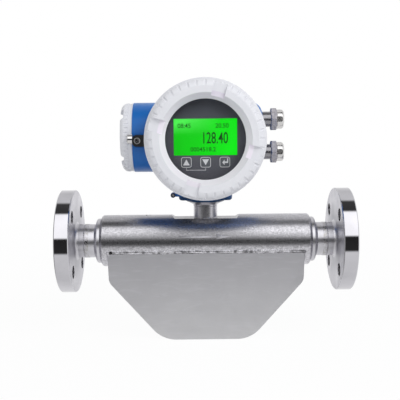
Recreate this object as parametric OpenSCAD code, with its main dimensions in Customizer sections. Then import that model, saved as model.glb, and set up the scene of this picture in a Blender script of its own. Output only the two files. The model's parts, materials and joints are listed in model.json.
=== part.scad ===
// Coriolis flow meter with a T-shaped transmitter head.
// X runs along the pipe in the direction of flow, Z is up, and the display faces -Y.
// The origin is the centre of the inlet flange's raised face.

/* [Process line] */
// Length between the raised faces of the two flanges
meter_l = 326; // [318:1:380]
// Outer diameter of each flange
flange_od = 115; // [112:1:125]
// Flange thickness, raised face included
flange_t = 18; // [14:0.5:20]
// Diameter of the raised face
face_d = 68; // [55:1:70]
// Height of the raised face
face_h = 2; // [1:0.5:3]
// Bolt circle diameter
bolt_pcd = 85; // [82:0.5:92]
// Diameter of each bolt hole
bolt_d = 14; // [11:0.5:16]
// Bore through the flanges and splitters
bore_d = 27; // [20:0.5:29]
// Outer diameter of the pipe stub between flange and body tube
stub_d = 37.5; // [35:0.5:40]
// Radius of the fillet where the stub leaves the flange
hub_fillet = 3.5; // [1:0.5:5]
// Distance from the raised face to the butt weld
weld_x = 30; // [27:0.5:32]
// Depth of the butt weld's V groove
weld_depth = 2; // [1.5:0.25:2.5]
// Height of the butt weld's bead above the stub
weld_cap = 0.3; // [0.2:0.1:1]
// Diameter of the stepped ring at each end of the body tube
ring_d = 50; // [48:0.5:54]
// Length of the stepped ring
ring_l = 5.6; // [4:0.2:8]

/* [Body tube] */
// Outer diameter of the body tube
body_d = 57.6; // [57:0.1:60]
// Wall thickness of the body tube
body_wall = 5.8; // [5:0.1:7]
// Distance from the raised face to the end of the body tube
body_x0 = 46.7; // [44:0.1:52]
// Rounding of the tube's end corners
body_round = 3; // [1:0.5:4]
// Length of the milled flat under the neck
flat_l = 75; // [60:1:90]
// Depth of the milled flat below the top of the tube
flat_depth = 3.3; // [3.1:0.1:3.8]
// Length of the slope at each end of the flat
flat_ramp = 3; // [1:0.5:6]

/* [Case] */
// Distance from the end of the body tube to the case's upright side
case_inset = 9.4; // [6:0.1:16]
// Lean of the case's upright sides, outward at the top
case_lean = 1.4; // [0:0.2:4]
// Thickness of the case, plates included
case_t = 54; // [50:0.5:56]
// Thickness of the front and rear plates
plate_t = 2.5; // [2:0.1:4]
// Thickness of the bent band
band_t = 3; // [2:0.1:4]
// Depth of the sides' lower corner below the pipe axis
case_shoulder = 42.6; // [38:0.2:50]
// Depth of the case's flat bottom below the pipe axis
case_depth = 107.3; // [100:0.1:120]
// Width of the bottom between its corners before they are rounded
case_base_w = 97; // [88:1:104]
// Outer bend radius at the bottom corners
base_bend_r = 34; // [20:1:36]
// Outer bend radius at the side corners
shoulder_bend_r = 13; // [8:0.5:16]

/* [Flow tubes] */
// Outer diameter of each flow tube
tube_d = 14; // [12:0.2:15]
// Wall thickness of each flow tube
tube_wall = 1.2; // [0.8:0.1:1.6]
// Distance between the two flow tubes' centre lines
tube_pitch = 19; // [18:0.2:20]
// Gap between the flow tubes and the case band
tube_gap = 6; // [4:0.5:9]
// Centre-line bend radius of the flow tubes
tube_bend_r = 35; // [24:1:38]
// Depth of the sockets that hold the flow tubes
socket_l = 6; // [3:0.5:6.5]
// Thickness of each brace bar
brace_t = 2.5; // [1.5:0.1:4]
// Width of each brace bar along the pipe
brace_w = 19; // [17:0.5:24]

/* [Coils and magnets] */
// Outer diameter of each coil
coil_d = 15; // [12:0.5:18]
// Bore of each coil
coil_bore = 9; // [7:0.5:10]
// Length of each coil
coil_l = 8; // [6:0.5:8.5]
// Diameter of each magnet
magnet_d = 7.6; // [5:0.2:8]
// Length of each magnet
magnet_l = 10; // [8:0.5:14]
// Width of each coil or magnet bracket
bracket_w = 16; // [12:0.5:18]
// Height of the coils' axis above the flow tube's centre line
coil_rise = 19; // [18:0.5:22]
// How far the coil and the magnet each stand off their tabs' middle
coil_stand = 1; // [0.5:0.25:2]

/* [Neck] */
// Outer diameter of the neck
neck_d = 26.4; // [24:0.2:27]
// Height of the neck's shoulder above the pipe axis
neck_top = 39; // [36:0.5:46]
// Diameter of the spigot that the head turns on
spigot_d = 21; // [19:0.5:22]
// Length of the spigot above the shoulder
spigot_l = 21; // [18:0.5:24]
// Wire bore through the neck
neck_bore = 15; // [10:0.5:16]
// Height of the conical washer under the head
washer_t = 5; // [4:0.2:6]
// Diameter of the washer's upper face
washer_d = 41; // [36:0.5:46]
// Length of the conical boss under the head
boss_l = 2.6; // [1.6:0.2:5]

/* [Head housing] */
// Height of the barrel's axis above the pipe axis
head_z = 115.6; // [112:0.2:125]
// Outer diameter of the barrel
barrel_d = 76.7; // [74:0.1:80]
// Reach of the barrel from the neck axis to the terminal cover
barrel_left = 77.9; // [74:0.1:90]
// Reach of the barrel from the neck axis to the gland face
barrel_right = 63.4; // [62:0.2:76]
// Rounding of the barrel at the gland face
barrel_round = 12.5; // [6:0.5:14]
// Drop of the display drum's axis below the barrel's axis
drum_drop = 2.6; // [0:0.1:5]
// Outer diameter of the display drum
drum_d = 118; // [114:0.5:122]
// Distance from the neck axis to the drum's front shoulder
drum_front = 50; // [48:0.5:58]
// Distance from the neck axis to the drum's rear shoulder, towards the front
drum_rear = 8; // [4:0.5:14]
// Step from the drum down to the display cover's thread
cover_thread_step = 1.5; // [1:0.1:3]
// Wall of the display compartment inside that thread
drum_wall = 5.5; // [4:0.1:8]
// Distance from the neck axis to the floor of the display compartment
drum_floor = 22; // [20:0.5:24]
// Step from the barrel down to the terminal cover's thread
cap_thread_step = 3.45; // [2.5:0.05:4.5]
// Wall of the terminal compartment inside that thread
cap_spigot_wall = 3.4; // [2.6:0.1:6]
// Depth of the terminal compartment from the barrel's end
terminal_depth = 19.9; // [17:0.1:30]
// Width of the foot
foot_w = 58.8; // [52:0.2:64]
// Depth of the foot from front to back
foot_depth = 50; // [44:1:56]

/* [Display cover] */
// Wall of the cover's rim outside its thread
cover_wall = 5.8; // [4.9:0.1:8]
// Overall length of the cover
cover_l = 30; // [29:0.5:34]
// Length of the rim
cover_rim_l = 11; // [8:0.5:13]
// Height of the rim above the cover's side
cover_rim_step = 2.4; // [1:0.1:3.5]
// Rounding of the cover's front shoulder
cover_round = 9; // [7:0.5:10]
// Width of the front, from the cover's side to the sloping ring
cover_front_w = 14; // [11:0.2:16]
// Width of the sloping ring round the window
cover_slope_w = 6; // [3:0.2:8]
// Number of grip grooves round the shoulder
cover_grooves = 40; // [24:4:48]
// Width of each tool slot
slot_w = 13.8; // [10:0.2:16]
// Turn of the tool slots from upright, clockwise seen from the front
slot_turn = 16; // [0:1:45]
// Thickness of the window glass
glass_t = 7; // [5:0.5:7.5]

/* [Terminal cover] */
// Wall of the cover outside its thread
cap_wall = 2.55; // [2.4:0.05:4]
// Length of the cover
cap_l = 13.6; // [13:0.2:16]
// Rounding of the cover's shoulder
cap_round = 7; // [5:0.5:7.5]
// Number of grip grooves round the shoulder
cap_grooves = 48; // [24:4:60]
// Turn of the tool slots from upright
cap_slot_turn = 45; // [0:1:45]
// Length of thread that the cover takes
cap_thread_l = 6.4; // [5:0.2:6.8]

/* [Display] */
// Width of the LCD
lcd_w = 65.4; // [56:0.2:70]
// Height of the LCD
lcd_h = 37.6; // [30:0.2:44]
// Height of the LCD's centre above the cover's axis
lcd_rise = 2.4; // [-2:0.2:5]
// Size of each touch key
key_size = 11; // [8:0.2:13]
// Distance between neighbouring keys
key_pitch = 19.9; // [15:0.1:22]
// Drop of the keys below the cover's axis
key_drop = 23.6; // [21:0.2:26]
// Radius of the keys' corners
key_round = 2.4; // [1:0.1:4]

/* [Cable glands] */
// Distance between the two glands
gland_pitch = 36; // [34:0.5:37]
// Diameter of the gland's round stem
stem_d = 17; // [16.4:0.1:18]
// Length of the stem outside the head
stem_l = 10; // [3:0.2:12]
// Size of the gland's hexagon across its flats
gland_af = 24; // [22:0.5:25]
// Thickness of the hexagon
gland_hex_l = 6; // [4:0.2:8]
// Diameter of the gland nut
nut_d = 21.4; // [20.6:0.1:23]
// Length of the gland nut
nut_l = 8; // [7.4:0.2:12]
// Cable bore of the rubber seal
cable_d = 8; // [5:0.5:9]

/* [Lock and earth] */
// Length of the lock block along the barrel
lock_w = 13.2; // [11:0.2:16]
// Height of the lock block
lock_h = 12.4; // [11:0.2:15]
// Diameter of the lock pin
pin_d = 10.4; // [8:0.2:10.8]
// Diameter of the socket screws' heads
screw_head_d = 6.8; // [5.6:0.2:7.2]

/* [Hidden] */
$fn = 96;

// Fits and clearances
slip = 0.1;          // between fixed pieces where one sits in another
turn_fit = 0.05;     // radial running clearance on the neck
thread_gap = 0.3;    // radial gap between mating threads
face_gap = 0.1;      // between flat faces that turn on each other
motion_gap = 0.4;    // between a moving piece and a fixed one beside it
over = 1;            // how far a cutting tool runs past the face it cuts

// Places along the pipe
mid_x = meter_l / 2;
body_l = meter_l - 2 * body_x0;
ring_x0 = body_x0 - ring_l;
body_r = body_d / 2;
body_ir = body_r - body_wall;
plug_r = body_ir - slip;
edge = 1;            // small chamfer on turned edges

case_w = body_l - 2 * case_inset;

// Case outline, from the top of the inlet side round to the top of the outlet side
function case_outline(lean) = [
    [mid_x - case_w / 2 - lean, 0], [mid_x - case_w / 2, -case_shoulder],
    [mid_x - case_base_w / 2, -case_depth], [mid_x + case_base_w / 2, -case_depth],
    [mid_x + case_w / 2, -case_shoulder], [mid_x + case_w / 2 + lean, 0]];
case_path = case_outline(case_lean);
case_bends = [0, shoulder_bend_r, base_bend_r, base_bend_r, shoulder_bend_r, 0];

// Flow tubes follow the case at an even distance
tube_r = tube_d / 2;
tube_ir = tube_r - tube_wall;
socket_floor = -(tube_ir + 2.7);
socket_face = socket_floor - socket_l;
tube_inset = band_t + tube_gap + tube_r;
leg_x = mid_x - case_w / 2 + tube_inset;
tube_path = inset_path(case_outline(0), tube_inset, socket_floor);
duct_r = tube_ir + 0.8;      // horizontal ducts in the splitters
duct_x = weld_x + 24;        // where the pipe's bore ends and the ducts begin
saddle_t = 2.5;              // metal of a bracket's saddle above its tube
tab_t = 2;                   // thickness of a bracket's tab
sensor_w = 4;

// Neck and head
neck_r = neck_d / 2;
flat_z = body_r - flat_depth;
spigot_r = spigot_d / 2;
spigot_top = neck_top + spigot_l;
washer_top = neck_top + washer_t;
washer_collar = 1.7;         // straight part below the washer's cone
boss_z = washer_top + face_gap;
foot_z = boss_z + boss_l;
foot_round = 8;
foot_edge = 3.4;              // rounding along the foot's lower edges
set_screw_r = 3;
set_screw_z = foot_z + set_screw_r + 3;
groove_r = spigot_r - 1;
barrel_r = barrel_d / 2;
drum_z = head_z - drum_drop;
drum_r = drum_d / 2;
thread_r = drum_r - cover_thread_step;
drum_bore_r = thread_r - drum_wall;
cap_thread_r = barrel_r - cap_thread_step;
chamber_r = cap_thread_r - cap_spigot_wall;
bulkhead_t = 8;              // between the display compartment and the wiring chamber
chamber_y = bulkhead_t - drum_floor;
chamber_end = 5.4;           // wall of the wiring chamber behind the glands
partition_x = barrel_left - terminal_depth;
wire_hole_r = 7;

// Display cover, measured forward from the drum's shoulder
mate_r = thread_r + thread_gap;
cover_r = mate_r + cover_wall;
cover_neck_r = cover_r - cover_rim_step;
ring_r = cover_neck_r - cover_front_w;
window_r = ring_r - cover_slope_w;
pocket_front = cover_l - 8;
gasket_t = 0.8;
retainer_t = 2;
glass_r = window_r + 7.4;
glass_front = pocket_front - gasket_t;
glass_rear = glass_front - glass_t;
retainer_rear = glass_rear - retainer_t;
spigot_front = retainer_rear - 0.7;
seal_groove_r = mate_r + 2;
seal_groove_x = 1.6;
seal_groove_w = 2.8;
seal_r = 0.9;
seal_lift = 0.1;
slot_depth = 3.5;
groove_tool_r = 1.5;
groove_bite = 1;

// Terminal cover, measured outward from the barrel's end
cap_bore_r = cap_thread_r + thread_gap;
cap_r = cap_bore_r + cap_wall;
cap_ceiling = cap_thread_l + 0.6;
cap_rim_w = 0.8;             // flat top of the rim, inside its rounding
cap_recess_depth = 3.8;
cap_slot_w = slot_w * 0.95;
cap_grip_l = 9;              // length of the grip grooves from the cover's end
cap_groove_bite = 0.8;
cap_groove_x = 0.8;
cap_groove_w = 1.6;
cap_groove_depth = 1.3;
cap_seal_r = 0.5;
cap_seal_lift = 0.15;

// Display, measured forward from the neck axis
panel_front = drum_front + spigot_front - 1;
panel_t = 2;
panel_r = drum_bore_r - 1;
lcd_t = 5;
lcd_sink = 0.4;
lcd_back = panel_front - lcd_sink - lcd_t;
board_t = 1.6;
board_r = drum_bore_r - 4;
key_proud = 0.4;
processor_y = drum_floor + 16;
pillar_r = 3;
pillar_circle = board_r - 2 * pillar_r;
grid = 2.54;                 // spacing that the circuit boards are laid out on

// Terminals, on a board against the partition
terminals = 6;
terminal_pitch = 7;
terminal_w = 14;
terminal_h = terminals * terminal_pitch;
terminal_t = 9;
terminal_y = -6;
terminal_face = mid_x - partition_x - board_t - terminal_t;
terminal_hole_r = 2.2;
terminal_hole_l = 5;
terminal_screw_l = 4;
terminal_slot_w = 0.7;
terminal_slot_depth = 0.8;

// Glands, measured outward from the gland face
gland_x = mid_x + barrel_right;
gland_rise = 0.9;
gland_z = head_z + gland_rise;
gland_bore_r = 6.5;
gland_thread_r = 8;
gland_hex_x = gland_x + stem_l;
gland_hex_turn = 30;          // flats above and below
gland_collar_x = gland_hex_x + gland_hex_l;
gland_collar_l = 4.8;
gland_collar_r = 7.6;
nut_x = gland_collar_x + motion_gap;
nut_bore_r = gland_collar_r + thread_gap;
nut_mouth_r = 5.5;
nut_wall = 2;
slip_ring_t = 0.6;
nut_floor_x = nut_x + nut_l - nut_wall;

// Lock beside the terminal cover
lock_setback = 1.1;          // from the barrel's end
lock_x = mid_x - barrel_left + lock_setback + lock_w / 2;
lock_drop = 3.6;
lock_z = head_z - lock_drop;
lock_round = 4.8;            // of the corners beside the pin
lock_edge = 0.8;             // of the other corners
lock_screw_x = lock_x - lock_w / 2 + 5.3;
lock_pad_margin = 1;
lock_pad_t = 3;
lock_depth = 9;
lock_back = barrel_r + lock_pad_t;
lock_front = lock_back + lock_depth;
pin_rise = 1.8;
pin_z = lock_z + pin_rise;
pin_y = barrel_r + slip + pin_d / 2;
pin_l = 5.4;
pin_stem_r = 2;
pin_stem_l = 3.2;
screw_r = 2;
screw_head_l = 3;
screw_grip = 6;              // length of the lock screw's thread in the head
hex_socket_af = 3;

// Earth terminal
earth_reach = 5.6;           // beyond the foot's side
earth_x = mid_x - foot_w / 2 - earth_reach;
earth_rise = 6.7;
earth_z = foot_z + earth_rise;
earth_proud = 11;            // in front of the foot
earth_front = foot_depth / 2 + earth_proud;
earth_lug_r = 2.7;
earth_lug_l = 10;
earth_screw_r = 1.25;
earth_head_r = 2;

steel = [0.72, 0.73, 0.74];
dark_steel = [0.55, 0.56, 0.58];
blue = [0.1, 0.38, 0.72];
white = [0.92, 0.93, 0.95];
panel_grey = [0.29, 0.3, 0.34];
board_green = [0.05, 0.35, 0.2];

// ---------- outlines that bend ----------

function unit(v) = v / norm(v);
function left_of(v) = [-v[1], v[0]];
function heading(a, b) = atan2(b[1] - a[1], b[0] - a[0]);
function turn(a, b, c) = (heading(b, c) - heading(a, b) + 360) % 360;
function bend_start(a, b, c, r) = b - unit(b - a) * r * tan(turn(a, b, c) / 2);
function bend_end(a, b, c, r) = b + unit(c - b) * r * tan(turn(a, b, c) / 2);
function bend_centre(a, b, c, r) = bend_start(a, b, c, r) + left_of(unit(b - a)) * r;
function polar(r, a) = [r * cos(a), r * sin(a)];

// Points along a path whose inner corners are all bent to the left
function bent(path, radii, step = 3) = [
    path[0],
    for (i = [1 : len(path) - 2])
        let (c = bend_centre(path[i - 1], path[i], path[i + 1], radii[i]),
             a = heading(path[i - 1], path[i]) - 90,
             sweep = turn(path[i - 1], path[i], path[i + 1]),
             n = ceil(sweep / step))
            for (k = [0 : n]) c + polar(radii[i], a + sweep * k / n),
    path[len(path) - 1]];

// Corner b of the path a-b-c, moved to the left by d
function inset_corner(a, b, c, d) =
    let (n = left_of(unit(b - a)), m = left_of(unit(c - b))) b + (n + m) * d / (1 + n * m);

// The path moved to its left by d, with both ends at height z
function inset_path(path, d, z) = [
    [path[0][0] + d, z],
    for (i = [1 : len(path) - 2]) inset_corner(path[i - 1], path[i], path[i + 1], d),
    [path[len(path) - 1][0] - d, z]];

function inset_radii(radii, d) = [for (r = radii) r > 0 ? r - d : 0];
function reversed(list) = [for (i = [len(list) - 1 : -1 : 0]) list[i]];
function arc(c, r, a0, a1, n = 8) = [for (k = [0 : n]) c + polar(r, a0 + (a1 - a0) * k / n)];
function rounded_box(w, h, r) = [
    for (q = [[w / 2 - r, h / 2 - r, 0], [r - w / 2, h / 2 - r, 90],
              [r - w / 2, r - h / 2, 180], [w / 2 - r, r - h / 2, 270]])
        each arc([q[0], q[1]], r, q[2], q[2] + 90, 6)];

// ---------- turned solids: profiles are lists of [distance, radius] ----------

module turned(profile) {
    rotate_extrude() polygon([for (p = profile) [p[1], p[0]]]);
}
module along_x(x, z = 0, y = 0) { translate([x, y, z]) rotate([0, 90, 0]) children(); }
module against_x(x, z = 0, y = 0) { translate([x, y, z]) rotate([0, -90, 0]) children(); }
module to_front(x, z, y = 0) { translate([x, y, z]) rotate([90, 0, 0]) children(); }
module outlet_side() { translate([meter_l, 0, 0]) mirror([1, 0, 0]) children(); }
module flat_solid(y0, y1) { translate([0, y1, 0]) rotate([90, 0, 0]) linear_extrude(y1 - y0) children(); }

// ---------- process line ----------

module flange() {
    hub = arc([flange_t + hub_fillet, stub_d / 2 + hub_fillet], hub_fillet, 180, 270, 6);
    difference() {
        along_x(0) turned(concat(
            [[0, bore_d / 2], [0, face_d / 2], [face_h, face_d / 2],
             [face_h, flange_od / 2 - edge], [face_h + edge, flange_od / 2],
             [flange_t - edge, flange_od / 2], [flange_t, flange_od / 2 - edge]],
            hub,
            [[weld_x - weld_depth, stub_d / 2], [weld_x, stub_d / 2 - weld_depth],
             [weld_x, bore_d / 2]]));
        for (a = [45 : 90 : 315])
            rotate([a, 0, 0]) along_x(-over, bolt_pcd / 2) cylinder(d = bolt_d, h = flange_t + 2 * over);
    }
}
module inlet_flange() { color(steel) flange(); }
module outlet_flange() { color(steel) outlet_side() flange(); }

module butt_weld() {
    r = stub_d / 2;
    reach = weld_depth + 0.7;
    along_x(weld_x) turned(concat(
        [[0, r - weld_depth + 2 * slip], [weld_depth - slip, r + slip / 2], [reach, r + slip / 2]],
        [for (a = [30 : 20 : 150]) [reach * cos(a), r + slip / 2 + weld_cap * sin(a)]],
        [[-reach, r + slip / 2], [slip - weld_depth, r + slip / 2]]));
}
module butt_welds() {
    color(dark_steel) {
        butt_weld();
        outlet_side() butt_weld();
    }
}

module splitter() {
    r = stub_d / 2;
    ring_r0 = ring_d / 2;
    plug_end = leg_x + tube_r + 4;
    difference() {
        along_x(0) turned(concat(
            [[weld_x, bore_d / 2], [weld_x, r - weld_depth], [weld_x + weld_depth, r], [ring_x0 - 2, r]],
            [[ring_x0, r + 1.4], [ring_x0, ring_r0 - 1.8], [ring_x0 + 0.6, ring_r0 - 0.6],
             [ring_x0 + 1.8, ring_r0], [body_x0 - 1, ring_r0], [body_x0, ring_r0 - 0.6],
             [body_x0, plug_r], [plug_end - edge, plug_r], [plug_end, plug_r - edge], [plug_end, 0],
             [duct_x + bore_d / 4, 0], [duct_x, bore_d / 2]]));
        for (y = [-tube_pitch / 2, tube_pitch / 2]) {
            along_x(duct_x - over, 0, y) cylinder(r = duct_r, h = leg_x + tube_ir - duct_x + over);
            translate([leg_x, y, socket_floor - over]) cylinder(r = tube_ir, h = -socket_floor + over);
            translate([leg_x, y, -body_r]) cylinder(r = tube_r + slip, h = body_r + socket_floor);
        }
        translate([leg_x - 2 * tube_r, -body_r, -body_r])
            cube([plug_end, body_d, body_r + socket_face]);
    }
}
module inlet_splitter() { color(steel) splitter(); }
module outlet_splitter() { color(steel) outlet_side() splitter(); }

module body_tube() {
    window_l = 2 * tube_r + 20;
    window_w = tube_pitch + tube_d + 7;
    color(steel) difference() {
        along_x(body_x0) turned(concat(
            [[0, body_ir], [0, body_r - body_round]],
            arc([body_round, body_r - body_round], body_round, 180, 90, 6),
            arc([body_l - body_round, body_r - body_round], body_round, 90, 0, 6),
            [[body_l, body_ir]]));
        flat_solid(-body_r, body_r) polygon([
            [mid_x - flat_l / 2, body_r + over], [mid_x - flat_l / 2, body_r],
            [mid_x - flat_l / 2 + flat_ramp, flat_z], [mid_x + flat_l / 2 - flat_ramp, flat_z],
            [mid_x + flat_l / 2, body_r], [mid_x + flat_l / 2, body_r + over]]);
        translate([mid_x, 0, 0]) cylinder(d = neck_bore, h = body_d);
        for (x = [leg_x, meter_l - leg_x])
            translate([x - window_l / 2, -window_w / 2, -body_d])
                cube([window_l, window_w, body_d + socket_floor]);
    }
}

// Stations along the flow tubes' centre line: [point, heading]
function tube_stations(p, r, step) = [
    [p[0], heading(p[0], p[1])],
    for (i = [1 : len(p) - 2])
        let (c = bend_centre(p[i - 1], p[i], p[i + 1], r),
             a = heading(p[i - 1], p[i]),
             sweep = turn(p[i - 1], p[i], p[i + 1]),
             n = ceil(sweep / step))
            for (k = [0 : n]) [c + polar(r, a - 90 + sweep * k / n), a + sweep * k / n],
    [p[len(p) - 1], heading(p[len(p) - 2], p[len(p) - 1])]];

// A hollow tube swept along the stations, in the plane Y = y
module swept_tube(stations, outer, inner, sides, y) {
    n = len(stations);
    function loop(station, r) = [
        for (k = [0 : sides - 1])
            let (a = 360 * k / sides, side = polar(r * cos(a), station[1] + 90))
                [station[0][0] + side[0], y + r * sin(a), station[0][1] + side[1]]];
    function quads(base, flip) = [
        for (i = [0 : n - 2], k = [0 : sides - 1])
            let (q = [base + i * sides + k, base + i * sides + (k + 1) % sides,
                      base + (i + 1) * sides + (k + 1) % sides, base + (i + 1) * sides + k])
                flip ? reversed(q) : q];
    function mouth(i, flip) = [
        for (k = [0 : sides - 1])
            let (a = i * sides, b = (n + i) * sides, j = (k + 1) % sides, q = [a + k, b + k, b + j, a + j])
                flip ? reversed(q) : q];
    polyhedron(
        points = concat([for (s = stations) each loop(s, outer)], [for (s = stations) each loop(s, inner)]),
        faces = concat(quads(0, false), quads(n * sides, true), mouth(0, false), mouth(n - 1, true)),
        convexity = 6);
}
module flow_tube(y) {
    swept_tube(tube_stations(tube_path, tube_bend_r, 8), tube_r, tube_ir, 16, y);
}
module front_flow_tube() { color(steel) flow_tube(-tube_pitch / 2); }
module rear_flow_tube() { color(steel) flow_tube(tube_pitch / 2); }

module brace_bars() {
    top = socket_face - 2.5;
    width = tube_pitch + tube_d + 4;
    color(dark_steel) for (x = [leg_x, meter_l - leg_x]) translate([x, 0, top - brace_t])
        difference() {
            linear_extrude(brace_t) polygon(rounded_box(brace_w, width, 4));
            for (y = [-tube_pitch / 2, tube_pitch / 2])
                translate([0, y, -over]) cylinder(r = tube_r + slip, h = brace_t + 2 * over);
        }
}

// Places its children on the flow tubes: at the bottom and half way along each slope,
// with +Z pointing into the loop
module on_each_station() {
    p = tube_path;
    tilt = heading(p[1], p[2]) + 90;
    slope = (bend_end(p[0], p[1], p[2], tube_bend_r) + bend_start(p[1], p[2], p[3], tube_bend_r)) / 2;
    translate([mid_x, 0, p[2][1]]) children();
    translate([slope[0], 0, slope[1]]) rotate([0, 90 - tilt, 0]) children();
    translate([meter_l - slope[0], 0, slope[1]]) rotate([0, tilt - 90, 0]) children();
}
// A saddle on one flow tube with an upright tab; side is -1 for the front tube, 1 for the rear
module saddle(side) {
    y = side * tube_pitch / 2;
    tab_y = side * (coil_l / 2 + coil_stand + tab_t / 2);
    top = coil_rise + coil_d / 2;
    foot_top = tube_r + saddle_t;
    difference() {
        union() {
            translate([0, y, foot_top / 2]) cube([bracket_w, tube_d - 1, foot_top], center = true);
            translate([-bracket_w / 2, tab_y - tab_t / 2, foot_top / 2])
                cube([bracket_w, tab_t, top - foot_top / 2]);
        }
        translate([0, y, 0]) rotate([0, 90, 0])
            cylinder(r = tube_r + slip, h = bracket_w + 2 * over, center = true);
    }
}
module coil_brackets() { color(dark_steel) on_each_station() saddle(-1); }
module magnet_brackets() { color(dark_steel) on_each_station() saddle(1); }
module coils() {
    color("peru") on_each_station() translate([0, coil_l / 2 - coil_stand, coil_rise]) rotate([90, 0, 0])
        difference() {
            cylinder(d = coil_d, h = coil_l);
            translate([0, 0, -over]) cylinder(d = coil_bore, h = coil_l + 2 * over);
        }
}
module magnets() {
    color("dimgray") on_each_station() translate([0, coil_l / 2 + coil_stand, coil_rise]) rotate([90, 0, 0])
        cylinder(d = magnet_d, h = magnet_l);
}
module temperature_sensor() {
    p = tube_path;
    margin = 1;
    start = mid_x + bracket_w / 2 + margin;
    end = bend_start(p[2], p[3], p[4], tube_bend_r)[0] - margin;
    color("white") translate([start, -tube_pitch / 2 - sensor_w / 2, p[2][1] + tube_r + slip])
        cube([end - start, sensor_w, sensor_w / 2]);
}

// ---------- case ----------

module case_plate(y0, y1) {
    color(steel) difference() {
        flat_solid(y0, y1) polygon(bent(case_path, case_bends));
        along_x(0) cylinder(r = body_r + slip, h = meter_l);
    }
}
module case_front_plate() { case_plate(-case_t / 2, plate_t - case_t / 2); }
module case_rear_plate() { case_plate(case_t / 2 - plate_t, case_t / 2); }
module case_band() {
    inner = bent(inset_path(case_path, band_t, 0), inset_radii(case_bends, band_t));
    color(steel) difference() {
        flat_solid(plate_t - case_t / 2, case_t / 2 - plate_t)
            polygon(concat(bent(case_path, case_bends), reversed(inner)));
        along_x(0) cylinder(r = body_r + slip, h = meter_l);
    }
}

// ---------- neck ----------

module neck() {
    groove_half = set_screw_r + 0.5;
    groove_z0 = set_screw_z - groove_half;
    groove_z1 = set_screw_z + groove_half;
    color(steel) translate([mid_x, 0, 0]) turned([
        [flat_z, neck_bore / 2], [flat_z, neck_r], [neck_top - 0.5, neck_r], [neck_top, neck_r - 0.5],
        [neck_top, spigot_r], [groove_z0 - 1, spigot_r], [groove_z0, groove_r], [groove_z1, groove_r],
        [groove_z1 + 1, spigot_r], [spigot_top - edge, spigot_r], [spigot_top, spigot_r - edge],
        [spigot_top, neck_bore / 2]]);
}
module wire_feedthrough() {
    plug_l = 5;
    wire_pin_r = 0.5;
    wire_pin_out = 4;
    color("darkgoldenrod") translate([mid_x, 0, flat_z + plug_l]) {
        cylinder(r = neck_bore / 2 - slip, h = plug_l);
        for (a = [0 : 40 : 320]) rotate([0, 0, a]) translate([neck_bore / 3, 0, -wire_pin_out])
            cylinder(r = wire_pin_r, h = plug_l + 2 * wire_pin_out);
    }
}
module neck_washer() {
    color(dark_steel) translate([mid_x, 0, neck_top]) difference() {
        union() {
            cylinder(r = neck_r + 0.3, h = washer_collar);
            translate([0, 0, washer_collar])
                cylinder(r1 = neck_r + 0.3, r2 = washer_d / 2, h = washer_t - washer_collar);
        }
        translate([0, 0, -over]) cylinder(r = spigot_r + slip, h = washer_t + 2 * over);
    }
}

// ---------- head housing ----------

module barrel() {
    against_x(mid_x - barrel_left, head_z) cylinder(r = cap_thread_r, h = cap_thread_l);
    against_x(mid_x - barrel_left, head_z) translate([0, 0, -barrel_left - barrel_right])
        turned(concat(
            [[0, 0], [0, barrel_r - barrel_round]],
            arc([barrel_round, barrel_r - barrel_round], barrel_round, 180, 90, 6),
            [[barrel_left + barrel_right, barrel_r], [barrel_left + barrel_right, 0]]));
}
module drum() {
    to_front(mid_x, drum_z) turned([
        [-12, 0], [-12, drum_r - 16], [-10, drum_r - 14], [drum_rear - 4, drum_r - 1.5], [drum_rear, drum_r],
        [drum_front, drum_r], [drum_front, thread_r], [drum_front + spigot_front, thread_r],
        [drum_front + spigot_front, 0]]);
}
module foot() {
    column_h = head_z - foot_z - barrel_r / 2;
    half = foot_w / 2;
    translate([mid_x, 0, 0]) {
        intersection() {
            translate([0, 0, foot_z - 1]) linear_extrude(column_h + 1)
                polygon(rounded_box(foot_w, foot_depth, foot_round));
            translate([0, foot_depth, 0]) rotate([90, 0, 0]) linear_extrude(2 * foot_depth)
                polygon(concat([[half + 1, head_z], [-half - 1, head_z], [-half - 1, foot_z + foot_edge]],
                    arc([foot_edge - half, foot_z + foot_edge], foot_edge, 180, 270, 6),
                    arc([half - foot_edge, foot_z + foot_edge], foot_edge, 270, 360, 6),
                    [[half + 1, foot_z + foot_edge]]));
        }
        translate([0, 0, boss_z]) cylinder(r1 = washer_d / 2 + 0.3, r2 = foot_depth / 2 - 0.3, h = boss_l);
    }
}
module lock_pad() {
    left = lock_x - lock_w / 2 + slip;
    translate([left, -lock_back, lock_z - lock_h / 2 - lock_pad_margin])
        cube([lock_w + lock_pad_margin, lock_back - barrel_r / 2, lock_h + 2 * lock_pad_margin]);
}
module earth_lug() {
    to_front(earth_x, earth_z, earth_lug_l - earth_front) cylinder(r = earth_lug_r, h = earth_lug_l);
    translate([earth_x, -earth_front, earth_z - 1.5]) cube([mid_x - foot_w / 4 - earth_x, earth_front, 3]);
}
module wiring_chamber() {
    left = mid_x - barrel_left - cap_thread_l - over;
    difference() {
        along_x(left, head_z) cylinder(r = chamber_r, h = mid_x + barrel_right - chamber_end - left);
        translate([mid_x - partition_x, -barrel_d, 0])
            cube([barrel_d * 2, barrel_d + chamber_y, head_z * 2]);
    }
}
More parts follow.
